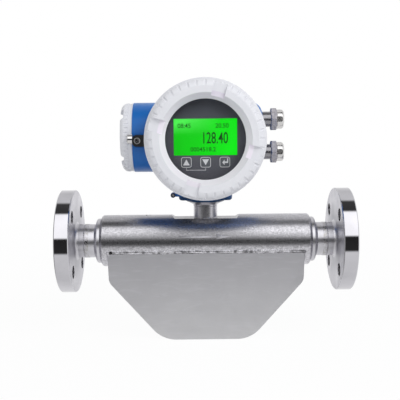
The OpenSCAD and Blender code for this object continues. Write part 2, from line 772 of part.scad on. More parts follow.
module head_housing() {
    color(blue) difference() {
        union() {
            barrel();
            drum();
            foot();
            lock_pad();
            earth_lug();
        }
        to_front(mid_x, drum_z, -drum_floor) cylinder(r = drum_bore_r, h = drum_front);
        wiring_chamber();
        to_front(mid_x + drum_bore_r / 2, head_z, chamber_y + over) cylinder(r = wire_hole_r, h = drum_floor);
        translate([mid_x, 0, boss_z - over])
            cylinder(r = spigot_r + turn_fit, h = spigot_top + 1 + over - boss_z);
        translate([mid_x, 0, boss_z]) cylinder(r = neck_bore / 2, h = head_z - boss_z);
        to_front(mid_x, set_screw_z, foot_depth) cylinder(r = set_screw_r + slip, h = foot_depth);
        for (z = gland_heights()) along_x(gland_x - 12, z) cylinder(r = gland_thread_r + slip, h = 16);
        to_front(lock_screw_x, lock_z, -barrel_r / 2) cylinder(r = screw_r + slip, h = lock_back);
        to_front(earth_x, earth_z, earth_lug_l - 1 - earth_front)
            cylinder(r = earth_screw_r + slip, h = earth_front);
    }
}
module head_lock_screw() {
    tip = groove_r + 0.3;
    back = foot_depth / 2 - 1;
    color(dark_steel) difference() {
        to_front(mid_x, set_screw_z, back) cylinder(r = set_screw_r, h = back - tip);
        to_front(mid_x, set_screw_z, back + over)
            cylinder(d = hex_socket_af / cos(30), h = hex_socket_af + over, $fn = 6);
    }
}

// ---------- display cover: a threaded ring, its window and seals ----------

// Grooves across the rounded shoulder of a cover, count of them round the axis +Z
module shoulder_grooves(count, centre_d, centre_r, round_r) {
    bite = round_r - groove_bite + groove_tool_r;
    for (i = [0 : count - 1]) rotate([0, 0, i * 360 / count])
        translate([centre_r + bite * sin(50), 0, centre_d + bite * cos(50)]) rotate([0, -50, 0])
            translate([0, 0, -round_r]) cylinder(r = groove_tool_r, h = 2 * round_r, $fn = 24);
}
module tool_slots(turned_by, inner, outer, floor_d, w) {
    for (a = [0 : 90 : 270]) rotate([0, 0, a + turned_by])
        translate([inner, -w / 2, floor_d]) cube([outer - inner, w, 20]);
}
module display_cover() {
    centre_d = cover_l - cover_round;
    centre_r = cover_neck_r - cover_round;
    color(white) to_front(mid_x, drum_z, -drum_front) difference() {
        turned(concat(
            [[0, mate_r], [0, cover_r - edge], [edge, cover_r], [cover_rim_l - edge, cover_r],
             [cover_rim_l + 1, cover_neck_r + 0.4], [cover_rim_l + 3, cover_neck_r]],
            arc([centre_d, centre_r], cover_round, 90, 14, 8),
            [[cover_l, centre_r + cover_round * cos(76) - 0.4], [cover_l, ring_r],
             [pocket_front + 1.4, window_r + 0.5], [pocket_front + 0.8, window_r], [pocket_front, window_r],
             [pocket_front, glass_r + slip * 2], [retainer_rear, glass_r + slip * 2],
             [retainer_rear, mate_r], [seal_groove_x + seal_groove_w, mate_r],
             [seal_groove_x + seal_groove_w, seal_groove_r], [seal_groove_x, seal_groove_r],
             [seal_groove_x, mate_r]]));
        shoulder_grooves(cover_grooves, centre_d, centre_r, cover_round);
        tool_slots(-slot_turn, window_r + 0.8, cover_r + 1, cover_l - slot_depth, slot_w);
    }
}
module window_gasket() {
    inner = window_r + 1;
    color("black") to_front(mid_x, drum_z, -drum_front)
        turned([[glass_front, inner], [glass_front, glass_r], [pocket_front, glass_r],
            [pocket_front, inner]]);
}
module window_glass() {
    color([0.7, 0.8, 0.85, 0.3]) to_front(mid_x, drum_z, -drum_front - glass_rear)
        cylinder(r = glass_r, h = glass_t);
}
module glass_retainer() {
    color(dark_steel) to_front(mid_x, drum_z, -drum_front) turned([
        [retainer_rear, glass_r - 4.5], [retainer_rear, glass_r + slip], [glass_rear, glass_r + slip],
        [glass_rear, glass_r - 4.5]]);
}
module display_cover_seal() {
    color("black") to_front(mid_x, drum_z, -drum_front - seal_groove_x - seal_groove_w / 2) rotate_extrude()
        translate([mate_r + seal_lift + seal_r, 0]) circle(r = seal_r, $fn = 24);
}

// ---------- terminal cover ----------

module terminal_cover() {
    centre_d = cap_l - cap_round;
    centre_r = cap_r - cap_round;
    recess_r = centre_r - cap_rim_w;
    color(white) against_x(mid_x - barrel_left, head_z) difference() {
        turned(concat(
            [[0, cap_bore_r], [0, cap_r - 0.5], [0.5, cap_r], [1.9, cap_r], [2.2, cap_r - 0.4],
             [4.8, cap_r - 0.4], [5.1, cap_r]],
            arc([centre_d, centre_r], cap_round, 90, 5, 8),
            [[cap_l, recess_r], [cap_l - cap_recess_depth, recess_r - 1.5], [cap_l - cap_recess_depth, 0],
             [cap_ceiling, 0], [cap_ceiling, cap_bore_r], [cap_groove_x + cap_groove_w, cap_bore_r],
             [cap_groove_x + cap_groove_w, cap_bore_r + cap_groove_depth],
             [cap_groove_x, cap_bore_r + cap_groove_depth], [cap_groove_x, cap_bore_r]]));
        for (i = [0 : cap_grooves - 1]) rotate([0, 0, i * 360 / cap_grooves])
            translate([cap_r + groove_tool_r - cap_groove_bite, 0, cap_l - cap_grip_l])
                cylinder(r = groove_tool_r, h = cap_grip_l + over, $fn = 24);
        tool_slots(cap_slot_turn, recess_r - 1.5, cap_r + 1, cap_l - cap_recess_depth, cap_slot_w);
    }
}
module terminal_cover_seal() {
    color("black") against_x(mid_x - barrel_left - cap_groove_x - cap_groove_w / 2, head_z) rotate_extrude()
        translate([cap_bore_r + cap_seal_lift + cap_seal_r, 0]) circle(r = cap_seal_r, $fn = 24);
}

// ---------- display and electronics ----------

module key_places() { for (i = [-1 : 1]) translate([i * key_pitch, -key_drop]) children(); }
module display_panel() {
    color(panel_grey) to_front(mid_x, drum_z, panel_t - panel_front) difference() {
        cylinder(r = panel_r, h = panel_t);
        translate([-lcd_w / 2 - slip, lcd_rise - lcd_h / 2 - slip, -over])
            cube([lcd_w + 2 * slip, lcd_h + 2 * slip, panel_t + 2 * over]);
    }
}
module lcd() {
    color("limegreen") to_front(mid_x, drum_z, -lcd_back)
        translate([-lcd_w / 2, lcd_rise - lcd_h / 2, 0]) cube([lcd_w, lcd_h, lcd_t]);
}
module touch_keys() {
    color("gainsboro") to_front(mid_x, drum_z, -panel_front) key_places()
        linear_extrude(key_proud) polygon(rounded_box(key_size, key_size, key_round));
}
module pillars_at(y, h) {
    for (a = [45 : 90 : 315]) to_front(mid_x, drum_z, -y) rotate([0, 0, a])
        translate([pillar_circle, 0, 0]) cylinder(r = pillar_r, h = h);
}
module board(y, r) {
    color(board_green) to_front(mid_x, drum_z, -y) cylinder(r = r, h = board_t);
}
module display_board() { board(lcd_back - board_t, board_r); }
module processor_board() { board(processor_y, board_r); }
module board_pillars() {
    color("gold") {
        pillars_at(drum_floor, processor_y - drum_floor);
        pillars_at(processor_y + board_t, lcd_back - 2 * board_t - processor_y);
        pillars_at(lcd_back, panel_front - panel_t - lcd_back);
    }
}
// Chips, a transformer, a relay and capacitors on the processor board, in steps of its grid:
// [x, z, width, height, depth] and [x, z]
module board_parts() {
    chips = [[-8, 6, 6, 6, 1], [3, 9, 7, 3, 1], [9, -2, 5, 6, 3], [-9, -5, 6, 8, 4], [0, -10, 8, 4, 2]];
    cans = [[-1, 2], [3, 2], [2, -3]];
    color("dimgray") to_front(mid_x, drum_z, -processor_y - board_t) {
        for (c = chips) translate([(c[0] - c[2] / 2) * grid, (c[1] - c[3] / 2) * grid, 0])
            cube([c[2] * grid, c[3] * grid, c[4] * grid]);
        for (c = cans) translate(c * grid) cylinder(r = 1.5 * grid, h = 4 * grid);
    }
}

// Terminal board against the partition, measured outward from it
module terminal_board() {
    color(board_green) against_x(mid_x - partition_x, head_z) difference() {
        cylinder(r = chamber_r - 1, h = board_t);
        translate([-chamber_r, chamber_r / 2, -over]) cube([2 * chamber_r, chamber_r, board_t + 2 * over]);
    }
}
module at_terminals(x) {
    for (i = [0 : terminals - 1])
        along_x(x, head_z + (i + 0.5) * terminal_pitch - terminal_h / 2, terminal_y) children();
}
module terminal_block() {
    color("darkgreen") difference() {
        translate([terminal_face, terminal_y - terminal_w / 2, head_z - terminal_h / 2])
            cube([terminal_t, terminal_w, terminal_h]);
        at_terminals(terminal_face - over) cylinder(r = terminal_hole_r, h = terminal_hole_l + over);
    }
}
module terminal_screws() {
    color("gainsboro") at_terminals(terminal_face + terminal_hole_l - terminal_screw_l) difference() {
        cylinder(r = terminal_hole_r - slip, h = terminal_screw_l);
        translate([-terminal_hole_r, -terminal_slot_w / 2, -over])
            cube([2 * terminal_hole_r, terminal_slot_w, over + terminal_slot_depth]);
    }
}

// ---------- cable glands ----------

function gland_heights() = [gland_z - gland_pitch / 2, gland_z + gland_pitch / 2];

module gland_body(z) {
    hex_corner = gland_af / 2 / cos(30);
    along_x(0, z) difference() {
        union() {
            translate([0, 0, gland_x - 7]) cylinder(r = gland_thread_r, h = 7);
            translate([0, 0, gland_x]) cylinder(d = stem_d, h = stem_l);
            intersection() {
                translate([0, 0, gland_hex_x]) rotate([0, 0, gland_hex_turn])
                    cylinder(r = hex_corner, h = gland_hex_l, $fn = 6);
                translate([0, 0, gland_hex_x]) turned([[0, 0], [0, gland_af / 2], [0.9, hex_corner],
                    [gland_hex_l - 0.9, hex_corner], [gland_hex_l, gland_af / 2], [gland_hex_l, 0]]);
            }
            translate([0, 0, gland_collar_x]) cylinder(r = gland_collar_r, h = gland_collar_l);
        }
        translate([0, 0, gland_x - 12]) cylinder(r = gland_bore_r, h = 60);
    }
}
module gland_bodies() { color("silver") for (z = gland_heights()) gland_body(z); }
module gland_seals() {
    color("black") for (z = gland_heights()) along_x(gland_hex_x + 2, z) difference() {
        cylinder(r = gland_bore_r - slip, h = gland_collar_x + gland_collar_l - gland_hex_x - 2);
        translate([0, 0, -over]) cylinder(d = cable_d, h = 40);
    }
}
module gland_slip_ring(z) {
    color("silver") along_x(nut_floor_x - slip_ring_t, z) difference() {
        cylinder(r = nut_bore_r - slip, h = slip_ring_t);
        translate([0, 0, -over]) cylinder(r = nut_mouth_r, h = slip_ring_t + 2 * over);
    }
}
module upper_gland_slip_ring() { gland_slip_ring(gland_heights()[1]); }
module lower_gland_slip_ring() { gland_slip_ring(gland_heights()[0]); }
module gland_nut(z) {
    flat_r = nut_d / 2 / cos(30) * 0.96;
    dome = 3.2;
    color("silver") along_x(nut_x, z) difference() {
        intersection() {
            cylinder(r = flat_r, h = nut_l, $fn = 6);
            turned(concat([[0, 0], [0, nut_d / 2 - 0.4], [0.4, nut_d / 2]],
                arc([nut_l - dome, nut_d / 2 - dome], dome, 90, 10, 6),
                [[nut_l, nut_mouth_r + 0.8], [nut_l, 0]]));
        }
        translate([0, 0, -over]) cylinder(r = nut_bore_r, h = nut_l - nut_wall + over);
        cylinder(r = nut_mouth_r, h = nut_l + over);
    }
}
module upper_gland_nut() { gland_nut(gland_heights()[1]); }
module lower_gland_nut() { gland_nut(gland_heights()[0]); }

// ---------- cover lock and earth terminal ----------

function lock_outline() =
    let (w = lock_w / 2, h = lock_h / 2, r = lock_round, e = lock_edge) concat(
        arc([w - e, h - e], e, 0, 90, 3), arc([r - w, h - r], r, 90, 180),
        arc([r - w, r - h], r, 180, 270), arc([w - e, e - h], e, 270, 360, 3));
module cover_lock_block() {
    left = lock_x - lock_w / 2;
    color([0.08, 0.08, 0.09]) difference() {
        flat_solid(-lock_front, -lock_back) translate([lock_x, lock_z]) polygon(lock_outline());
        to_front(lock_screw_x, lock_z, 0) cylinder(r = screw_r + slip, h = lock_front + over);
        to_front(lock_screw_x, lock_z, screw_head_l - lock_front)
            cylinder(d = screw_head_d + 4 * slip, h = screw_head_l + over);
        along_x(left - over, pin_z, -pin_y) cylinder(r = pin_stem_r + slip, h = over + pin_stem_l + 2 * slip);
    }
}
module cover_lock_screw() {
    color("silver") difference() {
        union() {
            to_front(lock_screw_x, lock_z, screw_head_l - lock_front)
                cylinder(d = screw_head_d, h = screw_head_l - 0.4);
            to_front(lock_screw_x, lock_z, screw_grip - lock_back)
                cylinder(r = screw_r, h = screw_grip + lock_depth - screw_head_l);
        }
        to_front(lock_screw_x, lock_z, 2 - lock_front) cylinder(d = hex_socket_af / cos(30), h = 4, $fn = 6);
    }
}
module cover_lock_pin() {
    left = lock_x - lock_w / 2;
    color("gainsboro") {
        against_x(left, pin_z, -pin_y) turned([[0, 0], [0, pin_d / 2], [pin_l - 0.6, pin_d / 2],
            [pin_l, pin_d / 2 - 0.6], [pin_l, 0]]);
        along_x(left, pin_z, -pin_y) cylinder(r = pin_stem_r, h = pin_stem_l);
    }
}
module earth_screw() {
    color("gainsboro") {
        to_front(earth_x, earth_z, -earth_front) turned([[0, 0], [0, earth_head_r], [0.8, earth_head_r],
            [1.6, earth_head_r - 0.7], [1.6, 0]]);
        to_front(earth_x, earth_z, earth_lug_l - 2 - earth_front)
            cylinder(r = earth_screw_r, h = earth_lug_l - 2);
    }
}

inlet_flange();
outlet_flange();
butt_welds();
inlet_splitter();
outlet_splitter();
body_tube();
front_flow_tube();
rear_flow_tube();
brace_bars();
coil_brackets();
coils();
magnet_brackets();
magnets();
temperature_sensor();
case_front_plate();
case_rear_plate();
case_band();
neck();
wire_feedthrough();
neck_washer();
head_housing();
head_lock_screw();
display_cover();
window_gasket();
window_glass();
glass_retainer();
display_cover_seal();
display_panel();
lcd();
touch_keys();
display_board();
processor_board();
board_pillars();
board_parts();
terminal_cover();
terminal_cover_seal();
terminal_board();
terminal_block();
terminal_screws();
gland_bodies();
gland_seals();
upper_gland_slip_ring();
lower_gland_slip_ring();
upper_gland_nut();
lower_gland_nut();
cover_lock_block();
cover_lock_screw();
cover_lock_pin();
earth_screw();
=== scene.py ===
"""Looks for a Coriolis flow meter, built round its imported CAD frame. Metres, in the CAD's own axes."""
import json
import math
import random

import bpy
import bmesh
from mathutils import Matrix, Vector


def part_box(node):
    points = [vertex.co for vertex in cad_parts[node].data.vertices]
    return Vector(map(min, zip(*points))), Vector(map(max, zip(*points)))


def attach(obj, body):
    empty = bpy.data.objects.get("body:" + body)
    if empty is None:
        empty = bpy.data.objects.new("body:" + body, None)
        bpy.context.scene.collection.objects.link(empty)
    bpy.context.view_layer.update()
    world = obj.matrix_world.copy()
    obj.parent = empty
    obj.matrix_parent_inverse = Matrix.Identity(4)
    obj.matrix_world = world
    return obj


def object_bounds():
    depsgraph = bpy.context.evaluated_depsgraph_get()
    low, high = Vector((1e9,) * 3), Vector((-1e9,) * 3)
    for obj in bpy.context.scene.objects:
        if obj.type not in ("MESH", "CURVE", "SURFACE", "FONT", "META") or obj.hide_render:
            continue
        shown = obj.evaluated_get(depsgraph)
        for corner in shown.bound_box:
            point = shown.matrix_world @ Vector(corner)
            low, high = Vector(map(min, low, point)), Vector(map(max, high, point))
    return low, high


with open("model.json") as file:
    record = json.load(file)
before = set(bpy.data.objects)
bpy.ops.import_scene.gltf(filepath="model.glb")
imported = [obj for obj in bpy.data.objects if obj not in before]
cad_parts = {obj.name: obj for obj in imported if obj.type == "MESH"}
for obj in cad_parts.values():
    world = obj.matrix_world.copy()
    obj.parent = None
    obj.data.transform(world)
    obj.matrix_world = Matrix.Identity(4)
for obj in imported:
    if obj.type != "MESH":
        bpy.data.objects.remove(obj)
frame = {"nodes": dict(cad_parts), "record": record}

MM = 0.001
CAD_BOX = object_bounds()
RNG = random.Random(7)
METER = "meter_body"
HEAD = "head"
BOLT_CIRCLE_R = 42.5 * MM
GLAND_HEX_L = 6 * MM
NUT_GAP = 0.4 * MM
COVER_PITCH = 2 * MM
GLAND_PITCH = 1.5 * MM
GLAND_COLLAR_R = 7.6 * MM
PRINT_LIFT = 0.06 * MM  # how far print stands off what it is on
PRINT_SINK = 0.1 * MM  # how far it reaches into it


# ---------- places that the CAD gives ----------

def centre(node):
    low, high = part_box(node)
    return (low + high) / 2


def size(node):
    low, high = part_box(node)
    return high - low


# A node's box is its low corner and its high corner.
COVER = centre("display_cover")
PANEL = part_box("display_panel")
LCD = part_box("lcd")
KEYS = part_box("touch_keys")
CAP = centre("terminal_cover")
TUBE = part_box("body_tube")
TUBE_R = size("body_tube").y / 2
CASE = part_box("case_band")
CASE_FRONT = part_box("case_front_plate")[0].y
MID_X = centre("body_tube").x
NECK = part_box("neck")
NECK_R = size("neck").x / 2
WELD_Z = -math.sqrt(TUBE_R ** 2 - CASE_FRONT ** 2)
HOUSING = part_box("head_housing")
DRUM_R = HOUSING[1].z - COVER.z
BOLT_PLACE = BOLT_CIRCLE_R * math.sqrt(0.5)
HEX_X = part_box("upper_gland_nut")[0].x - NUT_GAP - GLAND_HEX_L


# ---------- finishes ----------

class Nodes:
    """A node tree under construction. Values are numbers or the outputs of other nodes."""

    def __init__(self, tree):
        self.tree = tree

    def add(self, kind, **settings):
        node = self.tree.nodes.new(kind)
        for key, value in settings.items():
            setattr(node, key, value)
        return node

    def feed(self, socket, value):
        if isinstance(value, bpy.types.NodeSocket):
            self.tree.links.new(value, socket)
        else:
            socket.default_value = value

    def maths(self, operation, *values):
        node = self.add("ShaderNodeMath", operation=operation)
        for socket, value in zip(node.inputs, values):
            self.feed(socket, value)
        return node.outputs[0]

    def times(self, first, second):
        return self.maths("MULTIPLY", first, second)

    def minus(self, first, second):
        return self.maths("SUBTRACT", first, second)

    def length(self, first, second):
        """The hypotenuse over two distances."""
        squares = [self.times(side, side) for side in (first, second)]
        return self.maths("SQRT", self.maths("ADD", *squares))

    def span(self, value, low, high, to_low=0.0, to_high=1.0, **settings):
        """value from low to high becomes to_low to to_high, and stays there beyond them."""
        node = self.add("ShaderNodeMapRange", clamp=True, **settings)
        for socket, given in zip(node.inputs, (value, low, high, to_low, to_high)):
            self.feed(socket, given)
        return node.outputs[0]

    def ramp(self, value, stops):
        node = self.add("ShaderNodeValToRGB")
        self.feed(node.inputs[0], value)
        elements = node.color_ramp.elements
        while len(elements) < len(stops):
            elements.new(0.5)
        for element, (position, colour) in zip(elements, stops):
            element.position = position
            element.color = (*colour, 1)
        return node.outputs[0]

    def blend(self, factor, first, second):
        node = self.add("ShaderNodeMix", data_type="RGBA", blend_type="MIX")
        self.feed(node.inputs["Factor"], factor)
        for socket, value in ((node.inputs[6], first), (node.inputs[7], second)):
            self.feed(socket, value if isinstance(value, bpy.types.NodeSocket) else (*value, 1))
        return node.outputs[2]

    def mixed(self, factor, first, second):
        """Two shaders mixed."""
        node = self.add("ShaderNodeMixShader")
        for socket, value in zip(node.inputs, (factor, first, second)):
            self.feed(socket, value)
        return node.outputs[0]


class Finish(Nodes):
    """A material: one Principled shader and the nodes that feed it."""

    def __init__(self, name, colour, metallic=0.0, roughness=0.5, **constants):
        self.material = bpy.data.materials.new(name)
        self.material.use_nodes = True
        super().__init__(self.material.node_tree)
        self.shader = self.tree.nodes["Principled BSDF"]
        self.shader.inputs["Base Color"].default_value = (*colour, 1)
        self.shader.inputs["Metallic"].default_value = metallic
        self.shader.inputs["Roughness"].default_value = roughness
        for socket, value in constants.items():
            self.shader.inputs[socket.replace("_", " ")].default_value = value
        self.place = self.add("ShaderNodeTexCoord").outputs["Object"]
        self.normal = None

    def drive(self, socket, value):
        """Feeds one of the shader's own inputs."""
        self.feed(self.shader.inputs[socket], value)
        return self

    def fed(self, socket):
        """What feeds one of the shader's own inputs so far."""
        return self.shader.inputs[socket].links[0].from_socket

    def axes(self, origin=(0, 0, 0)):
        """X, Y and Z of the surface, measured from origin."""
        shift = self.add("ShaderNodeVectorMath", operation="SUBTRACT")
        self.feed(shift.inputs[0], self.place)
        shift.inputs[1].default_value = origin
        split = self.add("ShaderNodeSeparateXYZ")
        self.feed(split.inputs[0], shift.outputs[0])
        return split.outputs

    def radius(self, origin, first, second):
        """Distance from an axis through origin; first and second name the axes across it."""
        axes = self.axes(origin)
        return self.length(axes[first], axes[second])

    def noise(self, scale, detail=3.0, stretch=(1, 1, 1), distortion=0.0):
        mapping = self.add("ShaderNodeMapping")
        mapping.inputs["Scale"].default_value = stretch
        self.feed(mapping.inputs["Vector"], self.place)
        node = self.add("ShaderNodeTexNoise")
        self.feed(node.inputs["Vector"], mapping.outputs[0])
        node.inputs["Scale"].default_value = scale
        node.inputs["Detail"].default_value = detail
        node.inputs["Distortion"].default_value = distortion
        return node.outputs["Fac"]

    def cell_edges(self, scale):
        """Distance to the edges of a pattern of irregular cells."""
        node = self.add("ShaderNodeTexVoronoi", feature="DISTANCE_TO_EDGE")
        self.feed(node.inputs["Vector"], self.place)
        node.inputs["Scale"].default_value = scale
        return node.outputs["Distance"]

    def colour(self, value):
        return self.drive("Base Color", value)

    def roughness(self, value, low, high):
        return self.drive("Roughness", self.span(value, 0.25, 0.75, low, high))

    def bump(self, height, strength, distance):
        node = self.add("ShaderNodeBump")
        node.inputs["Strength"].default_value = strength
        node.inputs["Distance"].default_value = distance
        self.feed(node.inputs["Height"], height)
        if self.normal:
            self.feed(node.inputs["Normal"], self.normal)
        self.normal = node.outputs[0]
        return self.drive("Normal", self.normal)


def grey(value, tint=(1.0, 0.988, 1.045)):
    return tuple(value * t for t in tint)


def stained(finish, colour, dark, amount, scale):
    """Broad uneven toning over a colour."""
    tone = finish.span(finish.noise(scale, 4), 0.35, 0.7, 0, amount)
    return finish.colour(finish.blend(tone, colour, dark))


def flange_steel():
    """Turned flange: a polished rim, matt faces with lathe rings, a brushed hub with painted shade round
    it, and bolt holes painted dark as shade with painted glints.
    """
    finish = Finish("flange_steel", grey(0.66), 1.0, 0.2)
    rim_r, hub_r, hole_r, ring_pitch = 57.2 * MM, 20 * MM, 7.1 * MM, 0.45 * MM
    reach = finish.radius((0, 0, 0), "Y", "Z")
    axes = finish.axes()
    rim = finish.span(reach, rim_r - 0.6 * MM, rim_r)
    hub = finish.span(reach, hub_r + 3 * MM, hub_r)
    grain = finish.noise(1200, 3)
    face = finish.span(finish.noise(60, 4), 0.3, 0.7, 0.36, 0.5)
    matt = finish.minus(face, finish.times(hub, 0.1))
    polished = finish.span(grain, 0.3, 0.7, 0.03, 0.08)
    finish.drive("Roughness", finish.maths("ADD", finish.times(matt, finish.minus(1.0, rim)),
                                           finish.times(polished, rim)))
    tone = finish.span(finish.noise(45, 5), 0.35, 0.7, 0, 0.4)
    # painted shade: the face darkened in a ring round the hub
    hub_shade = finish.times(finish.span(reach, hub_r, hub_r + 2 * MM),
                            finish.span(reach, hub_r + 24 * MM, hub_r + 2 * MM, 0.0, 0.75))
    steel = finish.blend(hub_shade, grey(0.68), grey(0.36, (1.0, 1.0, 1.08)))
    worn = finish.blend(tone, steel, grey(0.5))
    from_hole = finish.length(*(finish.minus(finish.maths("ABSOLUTE", axes[a]), BOLT_PLACE) for a in "YZ"))
    # painted shade in the bolt-hole bores, broken by painted glints along them
    bore_shade_and_glints = finish.ramp(finish.noise(500, 2, (2.5, 0.6, 0.6)), [(0.42, grey(0.05)), (0.6, grey(0.8))])
    finish.colour(finish.blend(finish.span(from_hole, hole_r + 0.15 * MM, hole_r), worn, bore_shade_and_glints))
    rings = finish.maths("SINE", finish.times(reach, 2 * math.pi / ring_pitch))
    finish.bump(finish.times(rings, finish.minus(1.0, rim)), 0.1, 0.01 * MM)
    return finish.bump(grain, 0.1, 0.03 * MM)


def turned_steel(name, tone, low, high, axis="X"):
    """Turned about an axis: fine marks that run round it."""
    finish = Finish(name, grey(tone), 1.0, 0.2)
    marks = finish.noise(1400, 3, [1.6 if a == axis else 0.08 for a in "XYZ"])
    grain = finish.noise(1300, 2)
    finish.roughness(marks, low, high)
    stained(finish, grey(tone), grey(tone * 0.72), 0.45, 70)
    finish.bump(grain, 0.16, 0.03 * MM)
    return finish.bump(marks, 0.16, 0.02 * MM)


def tube_steel():
    """Blasted pipe: even grain; painted reflection bands up it, painted shade under the head, painted light
    to the right.
    """
    finish = Finish("tube_steel", grey(0.6), 1.0, 0.3)
    grain = finish.noise(760, 4, (0.7, 1, 1))
    finish.roughness(grain, 0.24, 0.36)
    axes = finish.axes()
    up = finish.span(axes["Z"], -TUBE_R, TUBE_R)
    # share of the way up the tube, and the brightness of the painted reflection band there
    bands = [(0.0, 0.8), (0.4, 0.8), (0.456, 0.76), (0.485, 0.62), (0.51, 0.45), (0.54, 0.29),
             (0.585, 0.22), (0.63, 0.3), (0.67, 0.45), (0.71, 0.6), (0.82, 0.68), (0.86, 0.5),
             (0.89, 0.42), (0.935, 0.56), (0.965, 0.66), (0.985, 0.75)]
    # painted reflection: paler and darker bands up the tube
    reflection_bands = finish.ramp(up, [(place, grey(value)) for place, value in bands])
    # painted shade under the head: full in the middle, fading to both sides, less along a painted sheen
    aside = finish.maths("ABSOLUTE", finish.minus(axes["X"], MID_X - 8 * MM))
    upper = finish.times(finish.span(up, 0.55, 0.68, 0.0, 0.6), finish.span(up, 1.0, 0.97))
    sheen = finish.times(finish.span(up, 0.7, 0.77, 0.0, 0.26), finish.span(up, 0.88, 0.82))
    upper = finish.minus(upper, sheen)
    head_shade = finish.times(finish.span(aside, 72 * MM, 16 * MM), upper)
    # painted light: paler towards the right end
    right = finish.span(axes["X"], MID_X + 20 * MM, TUBE[1].x, 0.0, 0.25)
    base = finish.blend(right, finish.blend(head_shade, reflection_bands, grey(0.1)), grey(0.95))
    # grit breaks the painted shade under the head with paler specks
    grit = finish.span(finish.noise(620, 3, (0.7, 1, 1)), 0.47, 0.6, 0.0, 0.62)
    gritty = finish.blend(finish.times(grit, head_shade), base, grey(0.6))
    finish.colour(finish.blend(finish.span(grain, 0.35, 0.65, 0, 0.55), gritty, grey(0.22)))
    # right of the neck the top scatters more light
    scatter = finish.times(finish.span(axes["X"], MID_X + 12 * MM, MID_X + 40 * MM, 0.0, 0.16),
                           finish.span(up, 0.74, 0.84))
    finish.drive("Metallic", finish.minus(finish.span(head_shade, 0.0, 0.6, 1.0, 0.85), scatter))
    finish.bump(finish.noise(260, 3), 0.07, 0.05 * MM)
    return finish.bump(grain, 0.5, 0.075 * MM)


def plate_steel():
    """Bead-blasted sheet with faint wavy rolling marks, and painted light that makes it lighter towards the
    bottom.
    """
    finish = Finish("plate_steel", grey(0.5), 0.5, 0.5)
    height = finish.axes()["Z"]
    # painted light: paler towards the bottom
    light = finish.span(height, CASE[0].z, 0.0, 1, 0)
    base = finish.blend(light, grey(0.43), grey(0.72, (0.99, 0.985, 1.0)))
    cloud = finish.span(finish.noise(28, 4, (1, 1, 2)), 0.3, 0.7, 0, 0.14)
    marks = finish.span(finish.noise(110, 4, (0.3, 1, 1.6), 1.5), 0.52, 0.7, 0, 0.16)
    finish.colour(finish.blend(marks, finish.blend(cloud, base, grey(0.42)), grey(0.78)))
    finish.roughness(finish.noise(90, 3), 0.44, 0.56)
    return finish.bump(finish.noise(2600, 2), 0.3, 0.03 * MM)


def weld_steel(name, dark, light):
    """Brushed weld metal, duller where heat has tinted it."""
    finish = Finish(name, grey(light), 1.0, 0.25)
    tone = finish.noise(260, 3)
    finish.colour(finish.ramp(tone, [(0.32, grey(dark, (1.03, 1.0, 0.97))), (0.5, grey((dark + light) / 2)),
                                     (0.66, grey(light))]))
    finish.roughness(finish.noise(500, 2), 0.2, 0.4)
    return finish.bump(finish.noise(700, 3), 0.35, 0.08 * MM)


def case_weld_steel():
    """The long welds under the tube: a bright bead between broken undercuts painted dark as shade, a pitted
    spot painted dark as shade at the left end, and darker towards the right end."""
    finish = weld_steel("case_weld_steel", 0.4, 0.7)
    off = finish.maths("ABSOLUTE", finish.minus(finish.axes()["Z"], WELD_Z))
    # painted shade in the undercuts either side of the bead, broken along it
    edge = finish.times(finish.span(off, 0.55 * MM, 0.85 * MM), finish.span(off, 1.5 * MM, 1.2 * MM))
    broken = finish.span(finish.noise(70, 3, (1, 1, 4)), 0.38, 0.62, 0.2, 1.0)
    tone = finish.ramp(finish.noise(230, 3), [(0.36, grey(0.28)), (0.5, grey(0.72)), (0.62, grey(0.98))])
    # painted shade of a pitted spot near the left end
    pit_shade = finish.span(finish.radius((CASE[0].x + 3.6 * MM, 0, WELD_Z), "X", "Z"), 2.6 * MM, 1.6 * MM)
    # darker towards the right end
    burnt = finish.span(finish.axes()["X"], CASE[1].x - 12 * MM, CASE[1].x - 3 * MM, 0.0, 0.7)
    dark = finish.maths("MAXIMUM", finish.times(edge, broken), pit_shade)
    return finish.colour(finish.blend(dark, finish.blend(burnt, tone, grey(0.3)), grey(0.045)))


def coated(name, colour, dark, peel=1300, gloss=(0.3, 0.42), depth=0.22):
    """Powder coat: orange peel, slight uneven gloss and grime in broad patches."""
    finish = Finish(name, colour, 0.0, 0.35, Coat_Weight=0.12, Coat_Roughness=0.2,
                    Specular_IOR_Level=0.32)
    finish.roughness(finish.noise(180, 3), *gloss)
    stained(finish, colour, dark, 0.4, 30)
    finish.bump(finish.noise(peel, 2), depth, 0.06 * MM)
    return finish.bump(finish.noise(peel * 4, 2), depth * 0.6, 0.02 * MM)


def blue_coat():
    """Blue powder coat, with painted shade under the foot of the head and a painted highlight along the top
    of the barrel.
    """
    finish = coated("blue_paint", (0.006, 0.135, 0.47), (0.004, 0.1, 0.36))
    base = finish.fed("Base Color")
    # painted shade: dark navy under the foot of the head
    low = finish.span(finish.axes()["Z"], HOUSING[0].z + 12 * MM, HOUSING[0].z + 5 * MM)
    top = CAP.z + size("terminal_cover").z / 2
    # painted highlight: paler blue along the top of the barrel
    top_highlight = finish.span(finish.axes()["Z"], top - 5 * MM, top, 0.0, 0.4)
    worn = finish.blend(top_highlight, base, (0.09, 0.27, 0.6))
    return finish.colour(finish.blend(low, worn, (0.008, 0.045, 0.13)))


